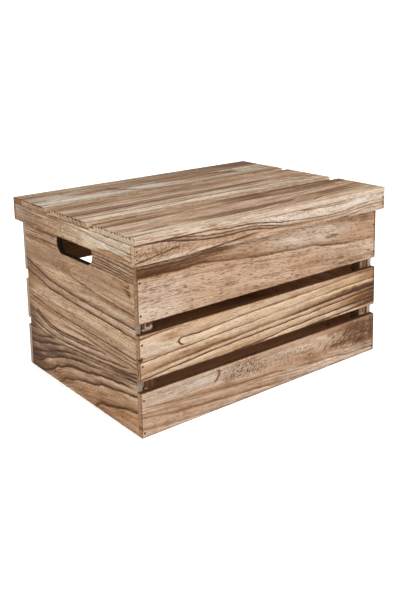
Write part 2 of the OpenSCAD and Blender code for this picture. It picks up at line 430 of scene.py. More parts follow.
    # end grain
    is_end = g.step(n_u, 0.55, 0.8)
    spacing, lean, dark = rings
    ring = g.m("FRACT", g.ma(g.noise(g.vec(0.0, v / 15, w / 7 + seed), 2.0), 2.2, g.ma(w, lean / spacing, v / spacing)))
    ring = g.ramp(ring, [(0.0, 0.05), (0.45, 0.12), (0.64, 1.0), (0.90, 0.9), (1.0, 0.05)])
    dots = g.noise(g.vec(u / 2, v / 1.2, w / 1.2), 1.5)
    ragged_end = g.noise(g.vec(2.0, v / 2.6 + seed, 1.0), 2.0, 0.6) - 0.5
    endc = g.mix(ring * dark, tone(end_colour), tone((76, 48, 29)))
    endc = g.mix(g.step(dots, 0.54, 0.68, 0, 0.5), endc, tone((86, 58, 38)))
    for ev, half, amount, cname in end_marks:
        endc = g.mix(g.step(g.m("ABSOLUTE", g.ma(jit, 4.0, v - ev)), half * 0.7, half * 1.2, amount, 0), endc, tone(COLOURS[cname]))
    if end_top:
        teeth = g.step(g.ma(ring, 2.2, g.ma(ragged_end, 2.0, w)), thick - 1.0, thick + 0.6, 0, end_top)
        endc = g.mix(teeth, endc, tone((66, 43, 28)))
    col = g.mix(is_end * ends, col, endc)

    # a long narrow face that the light picks out: painted light, it gets a lighter colour of its own as a painted
    # highlight, and a painted shadow along its foot
    if front_face:
        lit_face_colour, foot, foot_pts, face_marks = front_face
        n_v = F(g, nsep.outputs["xyz".index(axes[1][0])])
        on = g.step(n_v * (-1.0 * axes[1][1]), 0.55, 0.8)
        wisp = g.noise(g.vec(u / 34 + seed, w / 2.2 + slow * 5, 1.0), 2.0, 0.6)
        fc = g.mix(g.step(wisp, 0.47, 0.62) * g.curve(un, [(a / length, b) for a, b in face_marks]), tone(lit_face_colour), tone((160, 126, 98)))
        fc = g.vm("MULTIPLY", fc, g.vec(fib, fib, fib))
        # painted shadow: the strip along the foot of the face is darkened
        low = g.step(g.ma(jit, 1.2, w), foot - 0.5, foot + 0.5, 1, 0) * g.curve(un, [(a / length, b) for a, b in foot_pts])
        fc = g.mix(low, fc, tone((84, 57, 38)))
        col = g.mix(on, col, fc)

    # painted shade: faces that look up, the boards' top edges lying in the shadow under the board or lid rim above, are
    # darkened by the top_shade factors
    if top_shade:
        facing_up = g.step(F(g, nsep.outputs["xyz".index(axes[1][0])]), 0.55, 0.8)
        col = g.mix(facing_up, col, g.vm("MULTIPLY", col, top_shade))

    # edges, from the board's own outline
    du = g.m("MINIMUM", u, length - u)
    dv = g.m("MINIMUM", v, width - v)
    dw = g.m("MINIMUM", w, thick - w)
    near = g.m("MAXIMUM", g.m("MINIMUM", du, dv), g.m("MINIMUM", g.m("MAXIMUM", du, dv), dw))
    ragged = g.noise(g.vec(u / 5, v / 5 + 2, w / 5), 2.0, 0.6)
    rim = g.step(g.ma(ragged - 0.5, 3.6, near), 0.1, 1.8, 1, 0)
    col = g.mix(rim * edge, col, tone(COLOURS["burn"]))

    # splits, drawn as short straight strokes in two of the board's directions
    for plane, (a0, b0), (a1, b1), wide, amount in cuts:
        ca, cb = {"uv": (u, v), "wv": (w, v)}[plane]
        p = g.vec(g.ma(jit, 0.8, ca), g.ma(shiver, 0.9, cb), 0.0)
        ex, ey = a1 - a0, b1 - b0
        l2 = ex * ex + ey * ey
        rel = g.vm("SUBTRACT", p, (a0, b0, 0.0))
        t = g.ma(g.vm("DOT_PRODUCT", rel, (ex, ey, 0.0), out=1), 1 / l2, 0.0, True)
        dist = g.vm("LENGTH", g.vm("SUBTRACT", rel, g.vec(t * ex, t * ey, 0.0)), out=1)
        here = g.step(g.ma(t, wide * -0.5, dist), wide * 0.4, wide, amount, 0)
        if plane == "wv":
            here = here * g.step(u, 2.0, 3.0, 1, 0)
        col = g.mix(here, col, tone((46, 30, 20)))

    # hotter browns in the darker wood
    bw = g.new("ShaderNodeRGBToBW")
    g.put(bw.inputs[0], col)
    y = F(g, bw.outputs[0]) / (0.45 * gain)
    warm = g.ramp(y, [(0.0, (0.95, 0.77, 0.53, 1)), (0.15, (0.935, 0.79, 0.61, 1)), (0.38, (0.90, 0.81, 0.71, 1)), (0.65, (0.865, 0.83, 0.79, 1)), (0.92, (0.8333, 0.8333, 0.8333, 1))])
    col = g.vm("MULTIPLY", g.vm("MULTIPLY", col, warm), (1.182, 1.2, 1.195))

    if tint:
        col = g.vm("MULTIPLY", col, tint)
    if inner > 0:
        # the face that looks into the box is raw and redder
        k = g.step(w, thick - 1.2, thick - 0.4, 0, inner)
        raw = g.mix(0.60, g.vm("MULTIPLY", col, (1.38, 1.02, 0.74)), tone((212, 156, 112)))
        col = g.mix(k, col, g.vm("MULTIPLY", raw, (inner_gain, inner_gain, inner_gain)))
    if side:
        # (coordinate, from, to, colour): one side of a post, always in shade
        which, a, b, shade = side
        k = g.step({"u": u, "v": v, "w": w}[which], a, b)
        col = g.mix(k, col, g.mix(0.7, g.vm("MULTIPLY", col, (0.42, 0.40, 0.34)), tone(shade)))

    if nails:
        n_off, n_pairs = nails
        for v1, v2 in n_pairs:
            fu = g.m("ABSOLUTE", g.m("ABSOLUTE", u - length / 2) - (length / 2 - n_off))
            fv = g.m("ABSOLUTE", g.m("ABSOLUTE", v - (v1 + v2) / 2) - abs(v2 - v1) / 2)
            dn = g.vm("LENGTH", g.vec(fu, fv, 0.0), out=1)
            stain = g.step(g.ma(ragged - 0.5, 1.8, dn), 1.2, 2.5, 1, 0)
            col = g.mix(stain * 0.7, col, tone(COLOURS["char"]))

    if slot_hole:
        # painted shade: the hand hole's walls and a thin ring round its edge are darkened to the dark of the shaded
        # inside of the box
        hu, hv, half, rad = slot_hole
        qx = g.m("MAXIMUM", g.m("ABSOLUTE", u - hu) - half, 0.0)
        dh = g.vm("LENGTH", g.vec(qx, v - hv, 0.0), out=1) - rad
        lip = g.step(g.ma(ragged - 0.5, 1.2, dh), 0.25, 1.3, 1, 0)
        col = g.mix(lip * 0.97, col, tone((38, 23, 14)))

    bsdf = g.new("ShaderNodeBsdfPrincipled")
    g.put(bsdf.inputs["Base Color"], col)
    rough = g.ma(s_fine - 0.5, 0.22, g.ma(dash, 0.10, 0.66))
    if total is not None:
        rough = g.ma(total, -0.10, rough)
    g.put(bsdf.inputs["Roughness"], rough)
    bsdf.inputs["Specular IOR Level"].default_value = spec
    h = g.ma(s_fine, 0.4, g.ma(dash, -0.7, grit * 0.5))
    b = g.new("ShaderNodeBump")
    b.inputs["Strength"].default_value = 0.6 * bump
    b.inputs["Distance"].default_value = 0.0004
    g.put(b.inputs["Height"], h)
    g.t.links.new(b.outputs[0], bsdf.inputs["Normal"])
    out = g.new("ShaderNodeOutputMaterial")
    g.t.links.new(bsdf.outputs[0], out.inputs[0])
    return g.mat


def dress(node, mat):
    o = nodes[node]
    o.data.materials.clear()
    o.data.materials.append(mat)
    return o


def soften(node, width=0.7, segments=2):
    """Worn edges: the corners of the sawn board are taken off a little."""
    o = nodes[node]
    wd = o.modifiers.new("weld", "WELD")
    wd.merge_threshold = 0.000002
    de = o.modifiers.new("flat", "DECIMATE")
    de.decimate_type = "DISSOLVE"
    de.angle_limit = math.radians(0.5)
    bv = o.modifiers.new("worn", "BEVEL")
    bv.width = width / 1000
    bv.segments = segments
    bv.limit_method = "ANGLE"
    bv.angle_limit = math.radians(40)
    return o


# ---------------------------------------------------------------- boards
def front_axes(z0):
    return (("x", 1, 241), ("z", 1, -z0), ("y", 1, 169.5))


LIGHT, MID, DEEP = (211, 181, 154), (192, 157, 128), (150, 114, 84)

boards = {}

boards["front_board_top"] = wood(
    "wood_front_top", front_axes(165.5), (482, 113.5, 8.5), (207, 176, 150), (190, 154, 127), (148, 113, 85), seed=1.3, gain=0.945, strands=(3.6, 0.3), tint=(1.0, 0.99, 0.985),
    flow=([(0, 0), (120, -1), (240, -9), (360, -22), (482, -30)], [(0, 0), (160, -5), (320, -14), (482, -24)], 80, 0),
    lines=[
        (0.9, [(a, b - 165.5) for a, b in [(0, 231.8), (20, 231.4), (37, 231.6), (50, 229.9), (67, 228.6), (83, 229.6), (100, 231), (110, 231), (133, 228.6), (160, 225.5), (187, 222.7), (217, 219.6), (247, 218.2), (273, 217.5), (297, 215.1), (323, 215.1), (360, 209.8), (380, 207.4), (400, 205), (427, 203.6), (482, 201.9)]],
         {"p": "broad", "w": 0.75, "s": [(0, 1), (100, 0.95), (160, 0.85), (300, 0.8), (390, 0.9), (430, 0.55), (482, 0.4)]}),
        (0.5, [(0, 74), (60, 73), (120, 74), (180, 72)], {"p": "wide", "w": 0.5, "broken": True, "s": [(0, 1), (90, 0.9), (180, 0)]}),
        (0.35, [(0, 52), (120, 50), (260, 42), (380, 33), (482, 26)], {"p": "thin", "broken": True}),
        (0.35, [(0, 30), (120, 27), (260, 19), (380, 10), (482, 2)], {"p": "thin", "broken": True}),
        (0.35, [(60, 84), (160, 80), (280, 70), (400, 58), (482, 52)], {"p": "thin", "broken": True}),
        # a dark line right under the lid rim's lower edge: partly scorch, partly a painted shadow of the rim
        (0.7, [(0, 84.2), (240, 84.0), (482, 84.2)], {"p": "wide", "w": 0.3}),
        (0.9, [(0, 81), (60, 80), (120, 81.5), (200, 80)], {"p": "thin", "w": 1.2, "broken": True, "s": [(0, 1), (120, 0.8), (200, 0)]}),
        (0.9, [(0, 76), (70, 75), (130, 77.5), (190, 77)], {"p": "thin", "w": 1.3, "s": [(0, 1), (100, 0.9), (190, 0)]}),
        (0.8, [(0, 71), (60, 70), (110, 72), (150, 73)], {"p": "thin", "w": 1.2, "broken": True, "s": [(0, 1), (90, 0.9), (150, 0)]}),
        (0.55, [(0, 78.5), (60, 77.6), (120, 79)], {"p": "glow", "w": 0.25, "s": [(0, 1), (80, 0.8), (120, 0)]}),
    ],
    patches=[
        (20, 73, 100, 12, 1.0, "ash"), (40, 70, 70, 9, 0.9, "burn"), (120, 77, 60, 6, 0.8, "ash"), (60, 74, 60, 3, 0.4, "grey"), (8, 70, 60, 10, 0.8, "char"), (30, 75, 90, 4, 0.5, "ash"), (30, 15, 70, 18, 0.55, "pale"), (30, 45, 60, 12, 0.35, "pale"),
        (150, 60, 90, 12, 0.25, "brown"), (330, 64, 100, 18, 0.55, "pale"), (420, 22, 80, 16, 0.35, "pale"), (120, 12, 100, 12, 0.25, "tan"), (453, 73, 14, 9, 0.7, "burn"), (375, 56, 14, 4, 0.7, "burn"),
        (380, 20, 70, 14, 0.25, "brown"), (440, 75, 60, 10, 0.35, "brown"), (300, 4, 180, 5, 0.3, "brown"), (415, 5, 36, 5, 0.6, "burn"), (396, 17, 8, 1.2, 0.8, "burn", 1), (398, 7, 9, 1.0, 0.8, "burn", 1),
        # the thin dark line at u 0.6 along the left end is a painted shadow line
        (424, 5, 7, 1.2, 0.8, "burn", 1), (478.8, 57, 1.6, 80, 0.85, "burn", 1), (0.6, 57, 1.0, 80, 0.7, "burn", 1), (455, 10, 50, 12, 0.15, "brown"),
    ],
    mottle=[(380, 18, 90, 14, 0.3), (430, 62, 50, 12, 0.25), (250, 55, 90, 10, 0.15)], top_shade=(0.45, 0.4, 0.36),
    pores=1.0, worms=0.30, speckle=0.30, edge=0.6, nails=(4.5, [(11.5, 57.5)]), inner=1.0, ends=0.75, end_colour=(178, 140, 106), rings=(6.0, 0.9, 0.45))

boards["front_board_middle"] = wood(
    "wood_front_middle", front_axes(82.5), (482, 67, 8.5), (211, 182, 153), (197, 164, 133), (152, 116, 84), seed=4.1, gain=1.06, strands=(4.2, 0.22), top_shade=(0.17, 0.12, 0.09), deepen=(230, 420, (54, 33, 20)), ink=1.12,
    thick_lines=1.22,
    flow=([(0, 0), (120, 6), (240, 11), (360, 16), (482, 20)], [(0, 0), (120, 10), (240, 16), (360, 22), (482, 27)], 60, 5),
    lines=[
        (0.75, [(a, b - 82.5) for a, b in [(0, 143.9), (13, 144.9), (30, 146.5), (47, 147.2), (80, 147.6)]], {"p": "sharp", "s": [(0, 1), (40, 0.9), (75, 0.0)]}),
        (0.95, [(a, b - 82.5) for a, b in [(66, 125.3), (68, 127.9), (75, 130.3), (87, 130.3), (100, 129.6), (117, 130.6), (140, 132.3), (167, 133.9), (200, 135.6), (240, 136.9), (300, 139.2), (357, 140.9), (400, 143.5), (433, 145.2), (482, 146.2)]], {"p": "sharp", "w": 1.15, "s": [(62, 0), (66, 1), (140, 0.8), (280, 0.72), (380, 0.55), (482, 0.5)]}),
        (0.55, [(a, b - 82.5) for a, b in [(64, 125), (68, 128.6), (75, 130.8), (87, 131.2), (120, 132), (180, 135.5)]], {"p": "wide", "w": 0.55, "s": [(60, 0), (66, 1), (100, 0.9), (180, 0)]}),
        (0.9, [(a, b - 82.5) for a, b in [(66, 125.3), (68, 122.6), (71, 120.3), (80, 118.7)]], {"p": "thin", "w": 1.3, "s": [(62, 0), (66, 1), (71, 0.8), (80, 0)], "below": True}),
        (0.6, [(a, b - 82.5) for a, b in [(0, 116.7), (10, 115.3), (33, 115.3), (50, 114.3), (67, 114.3)]], {"p": "thin", "s": [(0, 1), (50, 0.6), (67, 0)]}),
        (0.75, [(a, b - 82.5) for a, b in [(0, 110.7), (17, 111.4), (33, 112.3), (53, 113.3), (67, 114.3), (87, 114.7), (110, 116), (133, 117.3), (160, 118.3), (187, 119.6), (233, 121.6), (253, 124), (293, 125.3), (333, 127.3), (367, 127.9), (400, 129.9), (482, 131.6)]], {"p": "sharp", "s": [(0, 1), (180, 0.85), (230, 0.5), (300, 0.5), (380, 0.8), (482, 0.9)]}),
        (0.95, [(a, b - 82.5) for a, b in [(0, 92.4), (20, 94.8), (37, 96.4), (67, 98.4), (87, 99.7), (110, 101.4), (133, 103.4), (167, 104.7), (200, 106.7), (233, 108.7), (267, 109.4), (300, 111), (350, 113.3), (380, 114.7), (417, 116), (482, 118.3)]], {"p": "broad", "w": 0.75, "s": [(0, 0.6), (110, 0.9), (240, 0.75), (330, 1), (482, 1)]}),
        (0.85, [(a, b - 82.5) for a, b in [(0, 85.2), (20, 86.8), (40, 88.8), (80, 92.1), (100, 93.8), (120, 95.1), (167, 97.4), (200, 98.7), (233, 100.4), (267, 101.1), (287, 102.7), (333, 104.1), (353, 105.7), (380, 106.7), (417, 108.7), (482, 111.4)]], {"p": "sharp"}),
        (0.92, [(a, b - 82.5) for a, b in [(160, 81.8), (173, 83.2), (200, 84.5), (233, 86.1), (253, 88.1), (277, 90.5), (300, 91.5), (333, 93.1), (360, 94.1), (400, 95.4), (433, 96.8), (482, 98.1)]], {"p": "sharp", "w": 1.15}),
        (0.88, [(a, b - 82.5) for a, b in [(317, 81.5), (333, 82.8), (367, 84.8), (400, 86.5), (433, 88.1), (482, 90.1)]], {"p": "sharp", "s": [(300, 0), (330, 1), (482, 1)]}),
        (0.8, [(a, b - 82.5) for a, b in [(330, 113.2), (380, 115.2), (420, 117), (482, 118.8)]], {"p": "halo", "w": 0.72, "s": [(325, 0), (372, 0.3), (400, 0.9), (482, 1)]}),
        (0.5, [(a, b - 82.5) for a, b in [(50, 104), (90, 107), (150, 112)]], {"p": "wide", "w": 0.6, "broken": True, "s": [(45, 0), (70, 1), (130, 0.8), (155, 0)]}),
        (0.6, [(a, b - 82.5) for a, b in [(375, 120.5), (386, 122.3), (396, 121.5), (407, 123.6), (417, 122), (430, 125), (441, 122.8), (455, 124.4), (468, 123.4), (482, 124.2)]], {"p": "sharp", "w": 0.8, "below": True, "s": [(370, 0), (385, 0.8), (482, 0.9)]}),
        (0.6, [(a, b - 82.5) for a, b in [(400, 98), (440, 100.5), (482, 102.5)]], {"p": "halo", "w": 0.6, "s": [(390, 0), (430, 0.6), (482, 1)]}),
        (0.75, [(a, b - 82.5) for a, b in [(400, 89.5), (440, 91.5), (482, 93)]], {"p": "wide", "w": 0.7, "s": [(405, 0), (440, 0.6), (482, 1)]}),
        (0.5, [(a, b - 82.5) for a, b in [(390, 145), (430, 146), (482, 147.5)]], {"p": "wide", "w": 0.6, "s": [(380, 0), (420, 1), (482, 1)]}),
    ],
    hooks=[(1.0, [(33.5, 78), (36.5, 71.5), (39, 68.5), (42.8, 66.3), (45.5, 68), (47.8, 72.5), (50.5, 82)], 3.3)],
    mottle=[(440, 38, 60, 5, 0.4), (455, 14, 50, 14, 0.3), (20, 40, 40, 9, 0.15)],
    patches=[
        (25, 43, 55, 14, 0.5, "pale"), (60, 6, 90, 9, 0.5, "cream"), (100, 44, 120, 9, 0.35, "cream"), (360, 36, 54, 14, 0.45, "brown"), (425, 34, 80, 12, 0.45, "brown"), (466, 30, 44, 16, 0.55, "burn"), (470, 54, 40, 10, 0.5, "burn"), (190, 29, 190, 20, 0.45, "cream"), (250, 51, 130, 9, 0.35, "cream"), (350, 20, 60, 12, 0.3, "cream"), (420, 45.5, 80, 4.6, 0.7, "gold"), (360, 44, 50, 4, 0.5, "cream"), (458, 37.5, 50, 4.2, 0.85, "burn"), (405, 38.6, 9, 2.6, 0.8, "burn", 1), (431, 39.5, 9, 3.2, 0.8, "burn", 1), (462, 38.5, 22, 3.2, 0.7, "burn", 1), (455, 64, 44, 3.6, 0.6, "brown"),
        (335, 35, 40, 3.2, 0.45, "brown"), (456, 18, 52, 20, 0.8, "brown"), (466, 12, 44, 17, 0.75, "burn"), (480, 22, 20, 18, 0.8, "burn"), (478, 50, 14, 12, 0.3, "brown"), (0.6, 33, 1.0, 50, 0.6, "burn", 1), (370, 24, 50, 5, 0.4, "brown"),
        (130, 20, 60, 4, 0.4, "brown"), (110, 62, 80, 5, 0.3, "orange"), (52, 53, 22, 7, 0.55, "brown"), (100, 25, 50, 6, 0.4, "brown"),
        (3, 34, 2.5, 2.5, 0.9, "char", 1), (1, 31, 2.2, 3, 0.9, "char", 1), (478.8, 34, 1.6, 50, 0.9, "burn", 1),
    ],
    cuts=[("uv", (0, 32), (3.5, 31.5), 1.2, 0.9), ("wv", (0.5, 33), (7, 22), 0.8, 0.8), ("wv", (1.5, 20), (6.5, 5), 0.8, 0.75), ("wv", (7.5, 27), (4, 14), 0.6, 0.6)],
    pores=0.5, worms=0.35, speckle=0.35, edge=0.6, nails=(4.5, [(22, 53)]), inner=1.0, ends=0.75, end_colour=(178, 140, 106), rings=(7.5, -1.4, 0.7))

boards["front_board_bottom"] = wood(
    "wood_front_bottom", front_axes(0), (482, 66, 8.5), (206, 178, 153), (188, 155, 129), (148, 113, 87), seed=7.7, gain=1.07, ink=0.88, tint=(1.0, 1.03, 1.07), strands=(3.4, 0.35), deepen=(320, 430, (62, 40, 27)), top_shade=(0.17, 0.12, 0.09),
    slant=[(440, 42, 70, 26, 1.0), (400, 36, 60, 12, 0.7), (350, 40, 60, 12, 0.35)],
    flow=([(0, 0), (200, -1), (482, -3)], [(0, 0), (120, -11), (240, -21), (360, -31), (482, -40)], 66, 0),
    lines=[
        (0.9, [(0, 44.9), (20, 42.8), (37, 40.7), (67, 36.9), (87, 35.8), (110, 33.7), (127, 32), (150, 30.2), (173, 28.1), (200, 27), (247, 25.3), (267, 23.2), (283, 22.5), (300, 20.7), (320, 18.6), (343, 16.5), (367, 15.1), (393, 13.4), (413, 10.5), (440, 9.1), (482, 8.1)], {"p": "broad", "w": 0.6, "s": [(0, 0.5), (60, 0.8), (150, 0.9), (255, 1), (290, 0.5), (330, 0.85), (400, 0.8), (482, 0.8)]}),
        (0.92, [(0, 29.1), (13, 28.1), (33, 25.6), (53, 22.5), (87, 19.7), (110, 17.6), (133, 16.2), (150, 14.4), (173, 12.6), (200, 10.9), (247, 7.7), (287, 4.9), (317, 3.2), (350, 1.4)], {"p": "broad", "w": 0.6, "s": [(0, 0.8), (80, 1), (250, 0.9), (350, 0.5)]}),
        (0.65, [(0, 13.4), (33, 9.8), (67, 6.3), (110, 3.5), (167, 0.7)], {"p": "broad", "w": 0.5}),
        (0.45, [(20, 40), (67, 34.4), (110, 31), (160, 27), (220, 22), (300, 15)], {"p": "thin"}),
        (0.4, [(0, 36), (60, 29), (120, 23), (200, 17.5), (300, 9)], {"p": "thin"}),
        (0.35, [(0, 21), (60, 15), (130, 9), (200, 4)], {"p": "thin", "broken": True}),
        (0.5, [(333, 64.2), (400, 64.5), (477, 64)], {"p": "thin", "s": [(328, 0), (345, 1), (477, 1)]}),
        (0.7, [(156, 44), (175, 41.5), (200, 42.5), (212, 44)], {"p": "wide", "w": 0.35, "broken": True, "s": [(153, 0), (162, 1), (200, 1), (212, 0)]}),
        (0.6, [(430, 20), (445, 28), (455, 38), (467, 48)], {"p": "wide", "w": 0.4, "s": [(430, 0), (442, 1), (460, 0.9), (468, 0)]}),
    ],
    patches=[
        (55, 54, 95, 9, 0.45, "grey"), (180, 52, 120, 11, 0.35, "grey"), (280, 31, 60, 4, 0.5, "brown"), (330, 30, 30, 6, 0.4, "burn"),
        (385, 33.5, 13, 3, 0.85, "burn", 1), (326, 34.4, 7, 1.8, 0.8, "burn", 1), (395, 33, 45, 7, 0.5, "brown"),
        (446, 42, 62, 24, 0.85, "ash"), (462, 26, 40, 18, 0.45, "burn"), (440, 56, 70, 9, 0.5, "burn"), (458, 44, 46, 24, 0.8, "burn"), (444, 27, 16, 5, 0.9, "char"), (405, 34, 40, 9, 0.6, "burn"), (468, 36, 18, 14, 0.5, "ash"), (0.6, 33, 1.0, 50, 0.6, "burn", 1),
        (240, 5, 240, 4, 0.35, "pale"), (300, 60, 180, 5, 0.3, "brown"), (478.8, 33, 1.6, 50, 0.9, "burn", 1), (475.7, 30, 0.9, 44, 0.6, "burn", 1),
    ],
    mottle=[(185, 50, 42, 15, 1.0), (212, 42, 44, 8, 0.9), (275, 44, 90, 12, 0.55), (40, 56, 46, 7, 0.35)],
    hooks=[(0.85, [(43, 127), (46, 130.5), (49, 134), (53.7, 137.2), (58.3, 138.2), (61.8, 136), (64.5, 131)], 4.2)],
    pores=0.5, worms=0.4, speckle=0.35, edge=0.6, line_colour=(98, 66, 44), nails=(4.5, [(7, 55)]), inner=1.0, ends=0.75, end_colour=(178, 140, 106), rings=(5.5, 0.7, 0.5),
    end_marks=[(15, 1.6, 0.9, "char")])

